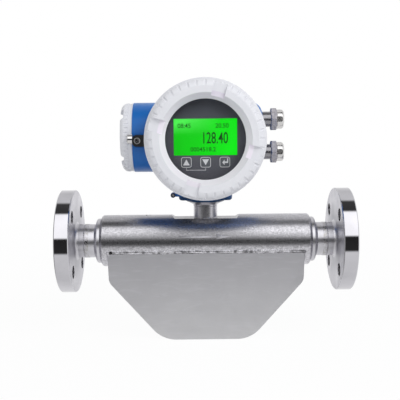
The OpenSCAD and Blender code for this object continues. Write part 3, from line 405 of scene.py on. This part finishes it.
def white_coat():
    """White powder coat; the ring that slopes down to the window is cooler, with painted shade darkest at
    its top and lightest across its middle.
    """
    finish = coated("white_paint", (0.76, 0.765, 0.8), (0.68, 0.685, 0.735), 1600, (0.34, 0.46), 0.3)
    reach = finish.radius(COVER, "X", "Z")
    outer, inner, edge = 50 * MM, 40 * MM, 1 * MM
    ring = finish.times(finish.span(reach, outer, outer - edge), finish.span(reach, inner, inner + edge))
    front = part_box("display_cover")[0].y
    depth = finish.span(finish.axes()["Y"], front, front + edge)
    # painted shade on the sloping ring: darkest at the top, lightest in the middle
    slope_shade = finish.ramp(finish.span(finish.axes()["Z"], COVER.z - outer + edge, COVER.z + outer - edge),
                        [(0.0, (0.79, 0.76, 0.82)), (0.5, (0.89, 0.84, 0.92)), (1.0, (0.69, 0.66, 0.74))])
    return finish.colour(finish.blend(finish.times(ring, depth), finish.fed("Base Color"), slope_shade))


def plated(name, tone, low, high):
    tint = (1.0, 0.985, 0.97)
    finish = Finish(name, grey(tone, tint), 1.0, 0.15)
    finish.roughness(finish.noise(350, 3), low, high)
    stained(finish, grey(tone, tint), grey(tone * 0.6), 0.4, 160)
    return finish.bump(finish.noise(1500, 2), 0.08, 0.03 * MM)


def gland_nickel():
    """Bright nickel, matt and worn on the flats of the hexagons, with a painted dark reflection on the
    stems.
    """
    finish = plated("nickel", 0.9, 0.22, 0.34)
    axes = finish.axes()
    hex_end = HEX_X + GLAND_HEX_L
    flats = finish.times(finish.span(axes["X"], HEX_X - 0.1 * MM, HEX_X),
                         finish.span(axes["X"], hex_end + 0.1 * MM, hex_end))
    finish.drive("Roughness", finish.maths("ADD", finish.fed("Roughness"), finish.times(flats, 0.4)))
    worn = finish.ramp(finish.noise(420, 3), [(0.35, (0.36, 0.34, 0.36)), (0.65, (0.52, 0.5, 0.52))])
    finish.drive("Metallic", finish.span(flats, 0.0, 1.0, 1.0, 0.15))
    # painted reflection: the stems darker
    stem_reflection = finish.span(axes["X"], HEX_X + 0.1 * MM, HEX_X)
    base = finish.blend(stem_reflection, finish.fed("Base Color"), grey(0.34))
    return finish.colour(finish.blend(flats, base, worn))


def screw_steel():
    """Plated screws; the cover lock's is painted dark within its rim as the shade of its socket."""
    finish = plated("plated_screw", 0.85, 0.3, 0.4)
    reach = finish.radius(centre("cover_lock_screw"), "X", "Z")
    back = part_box("cover_lock_screw")[1].y
    # painted shade of the socket within the lock screw's rim, with paler flecks
    socket_shade = finish.times(finish.span(reach, 2.6 * MM, 2.3 * MM),
                          finish.span(finish.axes()["Y"], back + 1 * MM, back))
    flecks = finish.ramp(finish.noise(700, 2), [(0.45, grey(0.02)), (0.68, grey(0.5))])
    return finish.colour(finish.blend(socket_shade, finish.fed("Base Color"), flecks))


def plain(name, colour, metallic=0.0, low=0.35, high=0.55, grain=1500, spread=0.25):
    """A moulded or cast surface: grain, and a slight change of tone."""
    finish = Finish(name, colour, metallic, (low + high) / 2)
    finish.roughness(finish.noise(grain * 0.3, 3), low, high)
    stained(finish, colour, tuple(c * 0.7 for c in colour), spread, 120)
    return finish.bump(finish.noise(grain, 2), 0.2, 0.03 * MM)


def circuit_board():
    finish = Finish("circuit_board", (0.02, 0.12, 0.06), 0.0, 0.4)
    tracks = finish.span(finish.cell_edges(420), 0.03, 0.08, 1, 0)
    finish.colour(finish.blend(tracks, (0.015, 0.1, 0.05), (0.05, 0.24, 0.12)))
    finish.roughness(finish.noise(300, 2), 0.25, 0.4)
    return finish.bump(tracks, 0.3, 0.03 * MM)


def printed_panel():
    finish = Finish("panel_film", (0.08, 0.082, 0.1), 0.0, 0.4)
    height = finish.axes()["Z"]
    # painted shade: darker towards the top of the panel
    fade = finish.span(height, PANEL[0].z, PANEL[1].z, 0.0, 0.8)
    base = finish.blend(fade, (0.122, 0.12, 0.143), (0.062, 0.067, 0.09))
    # painted light: lighter towards the right
    right = finish.span(finish.axes()["X"], LCD[1].x - 4 * MM, PANEL[1].x, 0.0, 0.5)
    finish.colour(finish.blend(right, base, (0.17, 0.175, 0.22)))
    finish.roughness(finish.noise(900, 2), 0.42, 0.55)
    return finish.bump(finish.noise(3000, 2), 0.15, 0.02 * MM)


def lcd_glow():
    """Backlit green: paler at the upper left, deeper at the left middle, brightest at the lower right."""
    finish = Finish("lcd_green", (0.0, 0.1, 0.0), 0.0, 0.35, Emission_Strength=0.95)
    low, high = LCD
    axes = finish.axes()
    across = finish.span(axes["X"], low.x, high.x)
    up = finish.span(axes["Z"], low.z, high.z)
    glow = finish.maths("ADD", finish.times(across, 0.75), finish.times(finish.noise(45, 1), 0.3))
    base = finish.ramp(glow, [(0.12, (0.0, 0.54, 0.0)), (0.5, (0.0, 0.72, 0.002)),
                              (0.85, (0.0, 0.92, 0.004))])
    corner = finish.times(finish.span(up, 0.55, 1.0), finish.span(across, 0.75, 0.0))
    finish.drive("Emission Color", finish.blend(finish.span(corner, 0.0, 0.7), base, (0.09, 0.98, 0.1)))
    return finish.bump(finish.noise(2500, 1), 0.05, 0.01 * MM)


def window_clear():
    finish = Finish("window_glass", (0.02, 0.03, 0.03), 0.0, 0.03, Alpha=0.07, IOR=1.5)
    finish.roughness(finish.noise(60, 3), 0.01, 0.05)
    return finish


def ink(name, colour, glow=0.0):
    finish = Finish(name, colour, 0.0, 0.5)
    thin = tuple(c * 0.8 for c in colour)
    if glow:
        finish.drive("Emission Strength", glow)
        cover = finish.span(finish.noise(900, 1), 0.3, 0.7)
        finish.drive("Emission Color", finish.blend(cover, colour, thin))
    finish.roughness(finish.noise(1200, 2), 0.4, 0.6)
    return stained(finish, colour, thin, 0.3, 400)


FINISHES = {
    "flange_steel": flange_steel(),
    "weld_steel": weld_steel("weld_steel", 0.46, 0.66),
    "splitter_steel": turned_steel("splitter_steel", 0.72, 0.26, 0.38),
    "tube_steel": tube_steel(),
    "flow_tube_steel": turned_steel("flow_tube_steel", 0.6, 0.2, 0.3),
    "bracket_steel": plain("bracket_steel", grey(0.42), 1.0, 0.35, 0.5),
    "copper_coil": plain("copper_coil", (0.6, 0.25, 0.1), 1.0, 0.3, 0.45, 2500),
    "magnet": plain("magnet", grey(0.25), 1.0, 0.25, 0.4),
    "sensor_ceramic": plain("sensor_ceramic", (0.75, 0.73, 0.68)),
    "case_plate": plate_steel(),
    "neck_steel": turned_steel("neck_steel", 0.68, 0.24, 0.36, "Z"),
    "feedthrough": plain("feedthrough", (0.45, 0.33, 0.12), 1.0, 0.3, 0.5),
    "blue_paint": blue_coat(),
    "white_paint": white_coat(),
    "black_steel": plain("black_steel", grey(0.09), 1.0, 0.4, 0.55),
    "rubber": plain("rubber", (0.02, 0.02, 0.021), 0.0, 0.6, 0.75),
    "window_glass": window_clear(),
    "panel": printed_panel(),
    "lcd_green": lcd_glow(),
    "key_print": plain("key_film", (0.12, 0.125, 0.145), 0.0, 0.35, 0.5, 3000, 0.15),
    "circuit_board": circuit_board(),
    "brass_pillar": plain("brass_pillar", (0.7, 0.5, 0.2), 1.0, 0.2, 0.35),
    "component": plain("component", (0.03, 0.03, 0.032), 0.0, 0.35, 0.5),
    "terminal_plastic": plain("terminal_plastic", (0.03, 0.16, 0.06), 0.0, 0.35, 0.5),
    "plated_screw": screw_steel(),
    "nickel": gland_nickel(),
    "lock_black": plain("lock_black", (0.012, 0.012, 0.014), 0.0, 0.3, 0.45, 2200),
    "pin_chrome": plated("pin_chrome", 0.8, 0.04, 0.1),
}
PRINT = ink("key_ink", (0.86, 0.87, 0.9))
LCD_INK = ink("lcd_ink", (0.0, 0.03, 0.0), 0.9)
LCD_FAINT = ink("lcd_faint_ink", (0.0, 0.06, 0.0), 0.9)
ETCH = plain("etched_mark", grey(0.6), 0.7, 0.45, 0.6, 2500, 0.3)


def dress_frame():
    """Gives every CAD node the finish of its material slot."""
    for part in frame["record"]["subparts"]:
        node = frame["nodes"][part["node"]]
        node.data.materials.clear()
        node.data.materials.append(FINISHES[part["material_slot"]].material)


# ---------- pieces ----------

def placed(name, data):
    """A new object in the scene."""
    thing = bpy.data.objects.new(name, data)
    bpy.context.scene.collection.objects.link(thing)
    return thing


def ring_angles(count):
    return [2 * math.pi * k / count for k in range(count)]


def piece(name, points, faces, finish, body, smooth=True):
    """A mesh in the CAD's axes that rides on a body, with its finish."""
    mesh = bpy.data.meshes.new(name)
    mesh.from_pydata([tuple(p) for p in points], [], faces)
    mesh.validate()
    thing = placed(name, mesh)
    shell = bmesh.new()
    shell.from_mesh(mesh)
    bmesh.ops.recalc_face_normals(shell, faces=shell.faces)
    shell.to_mesh(mesh)
    shell.free()
    for polygon in mesh.polygons:
        polygon.use_smooth = smooth
    mesh.materials.append(finish.material)
    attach(thing, body)
    return thing


def swept(rings, closed):
    """Points and faces of a tube through rings of equal size; open ends are capped."""
    sides = len(rings[0])
    points = [p for ring in rings for p in ring]
    count = len(rings)
    faces = []
    for i in range(count if closed else count - 1):
        for k in range(sides):
            a, b = i * sides, ((i + 1) % count) * sides
            faces.append((a + k, a + (k + 1) % sides, b + (k + 1) % sides, b + k))
    if not closed:
        faces.append(tuple(range(sides))[::-1])
        faces.append(tuple((count - 1) * sides + k for k in range(sides)))
    return points, faces


def bead(name, path, out, radius, flat, body, finish, step=0.55 * MM, wobble=0.25):
    """A weld bead along a closed path. out holds the outward direction at each point of it."""
    places, count = [], len(path)
    for i in range(count):
        a, b = path[i], path[(i + 1) % count]
        steps = max(1, round((b - a).length / step))
        for k in range(steps):
            share = k / steps
            places.append((a.lerp(b, share), out[i].lerp(out[(i + 1) % count], share).normalized()))
    rings, drift, angles = [], 0.0, ring_angles(8)
    total, seam, memory = len(places), 12, 0.85
    for i, (point, up) in enumerate(places):
        ahead, behind = places[(i + 1) % total][0], places[i - 1][0]
        side = (ahead - behind).normalized().cross(up).normalized()
        # regular ripples, and a random swelling that carries on from ring to ring and fades at the seam
        drift = memory * drift + RNG.uniform(-1, 1) * wobble * 0.3
        fade = min(1.0, i / seam, (total - i) / seam)
        ripple = 1 + 0.12 * math.sin(i * 1.9) + drift * fade
        rings.append([point + side * radius * ripple * math.cos(angle)
                      + up * radius * flat * ripple * math.sin(angle) for angle in angles])
    points, faces = swept(rings, True)
    return piece(name, points, faces, finish, body)


def extruded(name, outline, y_front, y_back, finish, body, hole=()):
    """A flat shape in the X-Z plane, with thickness along Y. A hole matches the outline point for point."""
    count = len(outline)
    if hole:
        rings = []
        for path, y in ((outline, y_back), (outline, y_front), (hole, y_front), (hole, y_back)):
            rings.append([Vector((x, y, z)) for x, z in path])
        points, faces = swept(rings, True)
    else:
        points = [Vector((x, y, z)) for y in (y_front, y_back) for x, z in outline]
        faces = [tuple(range(count)), tuple(range(count, 2 * count))[::-1]]
        faces += [(k, (k + 1) % count, count + (k + 1) % count, count + k) for k in range(count)]
    return piece(name, points, faces, finish, body, smooth=False)


def rounded_square(x, z, half, corner):
    points, steps = [], 5
    for cx, cz, start in ((1, 1, 0), (-1, 1, 90), (-1, -1, 180), (1, -1, 270)):
        for k in range(steps + 1):
            angle = math.radians(start + 90 * k / steps)
            points.append((x + cx * (half - corner) + corner * math.cos(angle),
                           z + cz * (half - corner) + corner * math.sin(angle)))
    return points


def weld_beads():
    """The bead round the case's mouth, along both plates and across both ends, and the neck's ring."""
    low_x, high_x = CASE[0].x, CASE[1].x
    tilt = math.atan2(-WELD_Z, -CASE_FRONT)
    under = math.pi - 2 * tilt
    path, out, spans = [], [], 24
    end_lean, mouth_r, neck_r = 0.8, 2.1 * MM, 0.9 * MM

    def add(x, angle, lean):
        path.append(Vector((x, -TUBE_R * math.cos(angle), -TUBE_R * math.sin(angle))))
        out.append(Vector((lean, -math.cos(angle), -math.sin(angle))).normalized())

    for k in range(spans + 1):
        add(low_x + (high_x - low_x) * k / spans, tilt, 0.0)
    for k in range(1, spans):
        add(high_x, tilt + under * k / spans, end_lean)
    for k in range(spans + 1):
        add(high_x + (low_x - high_x) * k / spans, math.pi - tilt, 0.0)
    for k in range(1, spans):
        add(low_x, math.pi - tilt - under * k / spans, -end_lean)
    bead("case_mouth_weld", path, out, mouth_r, 0.4, METER, case_weld_steel(),
         step=0.8 * MM, wobble=0.3)
    angles = ring_angles(48)
    bead("neck_weld",
         [Vector((MID_X + NECK_R * math.cos(a), NECK_R * math.sin(a), NECK[0].z)) for a in angles],
         [Vector((math.cos(a), math.sin(a), 1)).normalized() for a in angles],
         neck_r, 1.0, METER, FINISHES["weld_steel"])


def thread(name, start, end, radius, pitch, slot):
    """A right-hand thread ridge round the axis from start to end, which runs along X or Y."""
    start, end = Vector(start), Vector(end)
    steps_a_turn, run_out = 72, 10
    height, sunk = 0.2 * MM, 0.1 * MM
    span = end - start
    along_x = abs(span.x) > abs(span.y)
    turns = span.length / pitch * (1 if span.x + span.y > 0 else -1)
    count = round(abs(turns) * steps_a_turn)
    flank = span.normalized() * pitch * 0.36
    rings = []
    for i in range(count + 1):
        angle = 2 * math.pi * turns * i / count
        across = math.cos(angle), math.sin(angle)
        out = Vector((0, *across)) if along_x else Vector((across[1], 0, across[0]))
        middle = start + span * i / count
        crest = height * min(1.0, i / run_out, (count - i) / run_out)
        root = middle + out * (radius - sunk)
        rings.append([root - flank, middle + out * (radius + crest), root + flank])
    points, faces = swept(rings, False)
    return piece(name, points, faces, FINISHES[slot], HEAD)


def threads():
    """The ridges that show on the head and the glands once a cover or a nut is off."""
    before_seal, short_of_end = 0.9 * MM, 0.8 * MM
    display_r, terminal_r = DRUM_R - 1.5 * MM, HOUSING[1].y - 3.45 * MM
    start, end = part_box("display_cover_seal")[0].y - before_seal, HOUSING[0].y + short_of_end
    thread("display_thread", (COVER.x, start, COVER.z), (COVER.x, end, COVER.z), display_r,
           COVER_PITCH, "blue_paint")
    start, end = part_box("terminal_cover_seal")[0].x - before_seal, HOUSING[0].x + short_of_end
    thread("terminal_thread", (start, 0, CAP.z), (end, 0, CAP.z), terminal_r, COVER_PITCH, "blue_paint")
    for name in ("upper_gland_nut", "lower_gland_nut"):
        z = centre(name).z
        start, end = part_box(name)[0].x + 0.4 * MM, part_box("gland_bodies")[1].x - 0.5 * MM
        thread(name.replace("nut", "thread"), (start, 0, z), (end, 0, z), GLAND_COLLAR_R,
               GLAND_PITCH, "nickel")


def blob(name, x, degrees, reach, finish):
    """A low drop on the tube, degrees up from its front."""
    angle = math.radians(degrees)
    out = Vector((0, -math.cos(angle), math.sin(angle)))
    side = Vector((0, math.sin(angle), math.cos(angle)))
    rings, angles = [], ring_angles(10)
    for lat in (-20, 0, 25, 50, 72):
        spread = reach * math.cos(math.radians(lat))
        middle = Vector((x, 0, 0)) + out * (TUBE_R + reach * 0.8 * math.sin(math.radians(lat)))
        rings.append([middle + Vector((spread * math.cos(a), 0, 0)) + side * spread * math.sin(a)
                      for a in angles])
    points, faces = swept(rings, False)
    piece(name, points, faces, finish, METER)


def spatter():
    """Two burnt specks on top of the tube, and small drops beside the long welds."""
    blob("speck_1", MID_X - 66 * MM, 84, 0.75 * MM, FINISHES["lock_black"])
    blob("speck_2", MID_X - 62 * MM, 86, 0.5 * MM, FINISHES["lock_black"])
    for i in range(18):
        degrees = RNG.uniform(-14, -6) if i % 2 else 180 + RNG.uniform(6, 14)
        blob(f"spatter_{i + 1}", RNG.uniform(CASE[0].x, CASE[1].x), degrees, RNG.uniform(0.25, 0.45) * MM,
             FINISHES["weld_steel"])


def earth_shade_ring():
    """The black ring round the earth screw's head, standing in for the shade round it."""
    low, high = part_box("earth_screw")
    radius, wire_r, angles = 1.8 * MM, 0.6 * MM, ring_angles(24)
    path = [Vector(((low.x + high.x) / 2 + radius * math.cos(a), low.y + 0.3 * MM,
                    (low.z + high.z) / 2 + radius * math.sin(a))) for a in angles]
    bead("earth_shade_ring", path, [Vector((0, -1, 0))] * len(path), wire_r, 1.0, HEAD,
         FINISHES["lock_black"], wobble=0.02)


def flow_arrow():
    """An etched arrow that follows the front of the tube."""
    z_mid, half, head_half, tip_half = 7 * MM, 0.9 * MM, 2.6 * MM, 0.05 * MM
    tail, neck, tip = MID_X - 29.3 * MM, MID_X + 11.2 * MM, MID_X + 27.7 * MM
    depth, across = 0.03 * MM, 7
    radius = TUBE_R + depth
    points, faces = [], []
    for x, reach in ((tail, half), (neck, half), (neck, head_half), (tip, tip_half)):
        for k in range(across):
            z = z_mid + reach * (k / 3 - 1)
            points.append(Vector((x, -math.sqrt(radius ** 2 - z ** 2), z)))
    for row in (0, 2):  # the shaft starts at the first row, the head at the third
        for k in range(across - 1):
            a = row * across + k
            faces.append((a, a + 1, a + across + 1, a + across))
    arrow = piece("flow_arrow", points, faces, ETCH, METER)
    arrow.modifiers.new("depth", "SOLIDIFY").thickness = depth


def reading(name, words, left, bottom, height, stretch, finish, y):
    """Plain numerals on the LCD, as a thin mesh."""
    curve = bpy.data.curves.new(name, "FONT")
    curve.body = words
    curve.size = height / 0.7  # numerals are 0.7 of the font's size high
    curve.extrude = 0.04 * MM
    curve.offset = 0.012 * height
    source = placed(name + "_source", curve)
    bpy.context.view_layer.update()
    mesh = bpy.data.meshes.new_from_object(source.evaluated_get(bpy.context.evaluated_depsgraph_get()))
    bpy.data.objects.remove(source)
    mesh.name = name
    mesh.transform(Matrix.Diagonal((stretch, 1, 1, 1)))
    mesh.transform(Matrix.Rotation(math.pi / 2, 4, "X"))
    mesh.transform(Matrix.Translation((left, y, bottom)))
    mesh.materials.clear()
    mesh.materials.append(finish.material)
    thing = placed(name, mesh)
    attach(thing, HEAD)


def lcd_readings():
    """What the display shows. Places are mm to the right of and below the LCD's upper left corner."""
    low, high = LCD
    face = low.y - PRINT_LIFT
    rows = (("main_reading", "128.40", 28.5, 25.3, 11.5, 0.62, LCD_INK),
            ("upper_left_reading", "08:45", 4, 9.4, 4.6, 0.95, LCD_FAINT),
            ("upper_right_reading", "20.50", 43, 9.4, 4.6, 0.95, LCD_FAINT),
            ("lower_reading", "0004518.2", 17, 33.6, 4.4, 1.0, LCD_FAINT))
    for name, words, right, down, height, stretch, finish in rows:
        reading(name, words, low.x + right * MM, high.z - down * MM, height * MM, stretch, finish, face)


def key_print():
    """The frame and sign of each touch key, and the line that brackets the first two."""
    low, high = KEYS
    z = (low.z + high.z) / 2
    half = (high.z - low.z) / 2
    pitch = (high.x - low.x) / 2 - half
    front, back = low.y - PRINT_LIFT, low.y + PRINT_SINK
    frame_out, frame_in = (half - 0.15 * MM, 2.2 * MM), (half - 0.7 * MM, 1.7 * MM)  # half size, corner
    w, h = 3.5 * MM, 3.1 * MM  # half sizes of the triangles
    hook, hook_drop = 5.6 * MM, 0.3 * MM
    for i, name in ((-1, "up"), (0, "down"), (1, "enter")):
        x = COVER.x + i * pitch
        extruded(f"key_outline_{name}", rounded_square(x, z, *frame_out), front, back, PRINT, HEAD,
                 rounded_square(x, z, *frame_in))
        if name == "enter":
            shape = [(-0.5, 0.0), (-0.05, 0.5), (-0.05, 0.18), (0.4, 0.18), (0.4, 0.75), (0.62, 0.75),
                     (0.62, -0.12), (-0.05, -0.12), (-0.05, -0.5)]
            outline = [(x + px * hook, z + pz * hook - hook_drop) for px, pz in shape]
        else:
            sign = 1 if name == "up" else -1
            outline = [(x - w, z - sign * h), (x + w, z - sign * h), (x, z + sign * h)]
        extruded(f"key_sign_{name}", outline, front, back, PRINT, HEAD)
    line, panel_y = 0.22 * MM, PANEL[0].y
    foot, base = low.z - 0.4 * MM, low.z - 2.6 * MM
    x0, x1 = COVER.x - pitch, COVER.x
    bracket = [(x0 - line, foot), (x0 - line, base - line), (x1 + line, base - line), (x1 + line, foot),
               (x1 - line, foot), (x1 - line, base + line), (x0 + line, base + line), (x0 + line, foot)]
    extruded("key_bracket_line", bracket, panel_y - 0.05 * MM, panel_y + PRINT_SINK, PRINT, HEAD)


# ---------- studio ----------

def aim(right, up, forward, place):
    """Where a camera or lamp stands, from its own directions."""
    matrix = Matrix((right, up, -forward)).transposed().to_4x4()
    matrix.translation = place
    return matrix


def camera():
    """At the height of the display, 0.8 m in front of it, looking slightly down."""
    place = Vector((0.1545, -0.7912, 0.1142))
    yaw, pitch, roll = (math.radians(a) for a in (0.18, -5.0, -0.55))
    forward = Vector((math.sin(yaw) * math.cos(pitch), math.cos(yaw) * math.cos(pitch), math.sin(pitch)))
    right = forward.cross(Vector((0, 0, 1))).normalized()
    up = right.cross(forward)
    right, up = (right * math.cos(roll) + up * math.sin(roll), up * math.cos(roll) - right * math.sin(roll))
    data = bpy.data.cameras.new("camera")
    data.sensor_width = 36.0
    data.lens = 63.55
    data.clip_start = 0.01
    thing = placed("camera", data)
    thing.matrix_world = aim(right, up, forward, place)
    bpy.context.scene.camera = thing


def lamp(name, place, target, width, depth, watts):
    data = bpy.data.lights.new(name, "AREA")
    data.shape = "RECTANGLE"
    data.size, data.size_y, data.energy = width, depth, watts
    forward = (Vector(target) - Vector(place)).normalized()
    right = forward.cross(Vector((0, 0, 1))).normalized()
    thing = placed(name, data)
    thing.matrix_world = aim(right, right.cross(forward), forward, Vector(place))
    thing.visible_glossy = False


def studio_world():
    """White to the camera; to polished metal, long soft boxes with dark gaps between them."""
    world = bpy.data.worlds.new("studio")
    bpy.context.scene.world = world
    world.use_nodes = True
    sky = Nodes(world.node_tree)
    sky.tree.nodes.clear()

    def background(colour, strength):
        node = sky.add("ShaderNodeBackground")
        sky.feed(node.inputs[0], colour)
        sky.feed(node.inputs[1], strength)
        return node.outputs[0]

    split = sky.add("ShaderNodeSeparateXYZ")
    sky.feed(split.inputs[0], sky.add("ShaderNodeTexCoord").outputs["Generated"])
    x, y, z = split.outputs
    rise = sky.maths("ARCTAN2", z, sky.times(y, -1.0))
    # degrees above the horizon in front, over the top and down behind; brightness there
    stops = [(-180, 0.8), (-165, 0.6), (-90, 0.5), (-40, 0.5), (-23, 0.52), (-19, 0.02), (11, 0.015),
             (15, 0.95), (45, 1.0), (67, 0.95), (72, 0.03), (97, 0.04), (104, 0.5), (140, 0.45),
             (168, 0.6), (180, 0.8)]
    boxes = sky.ramp(sky.maths("ADD", sky.maths("DIVIDE", rise, 2 * math.pi), 0.5),
                     [((degrees + 180) / 360, (value, value, value)) for degrees, value in stops])
    aside = sky.span(sky.maths("ABSOLUTE", x), 0.55, 0.9, interpolation_type="SMOOTHSTEP")
    # darker to the left than to the right
    ends = sky.span(x, -0.3, 0.3, 0.22, 0.55)
    gloss = background(sky.blend(aside, boxes, ends), 1.5)
    soft = background((0.97, 0.98, 1.0, 1), sky.span(z, -0.5, 0.3, 0.3, 0.6))
    white = background((1, 1, 1, 1), 1.0)
    ray = sky.add("ShaderNodeLightPath").outputs
    lit = sky.mixed(ray["Is Glossy Ray"], soft, gloss)
    seen = sky.maths("MAXIMUM", ray["Is Camera Ray"], ray["Is Transmission Ray"])
    sky.feed(sky.add("ShaderNodeOutputWorld").inputs[0], sky.mixed(seen, lit, white))


def floor():
    """A flat white floor that keeps the object's soft shadow."""
    half, z = 4.0, CAD_BOX[0].z
    mesh = bpy.data.meshes.new("floor")
    mesh.from_pydata([(MID_X + half * a, half * b, z) for a, b in ((-1, -1), (1, -1), (1, 1), (-1, 1))],
                     [], [(0, 1, 2, 3)])
    finish = Finish("floor", (0.86, 0.86, 0.86), 0.0, 0.9)
    finish.roughness(finish.noise(12, 2), 0.85, 0.95)
    away = finish.span(finish.radius((MID_X, 0, 0), "X", "Y"), 0.3, 1.3, 0.955, 1.0)
    share = finish.times(finish.add("ShaderNodeLightPath").outputs["Is Camera Ray"], away)
    glow = finish.add("ShaderNodeEmission").outputs[0]
    seen = finish.mixed(share, finish.shader.outputs[0], glow)
    finish.feed(finish.tree.nodes["Material Output"].inputs[0], seen)
    mesh.materials.append(finish.material)
    thing = placed("floor", mesh)
    thing.visible_glossy = False


def studio():
    scene = bpy.context.scene
    scene.view_settings.view_transform = "Standard"
    camera()
    studio_world()
    floor()
    lamp("key_light", (MID_X + 0.9, -1.0, 1.1), (MID_X, 0, 0.05), 1.2, 0.9, 14)
    lamp("fill_light", (MID_X - 0.9, -1.0, 0.5), (MID_X, 0, 0.05), 0.9, 0.9, 2)


studio()
dress_frame()
weld_beads()
spatter()
threads()
earth_shade_ring()
flow_arrow()
lcd_readings()
key_print()
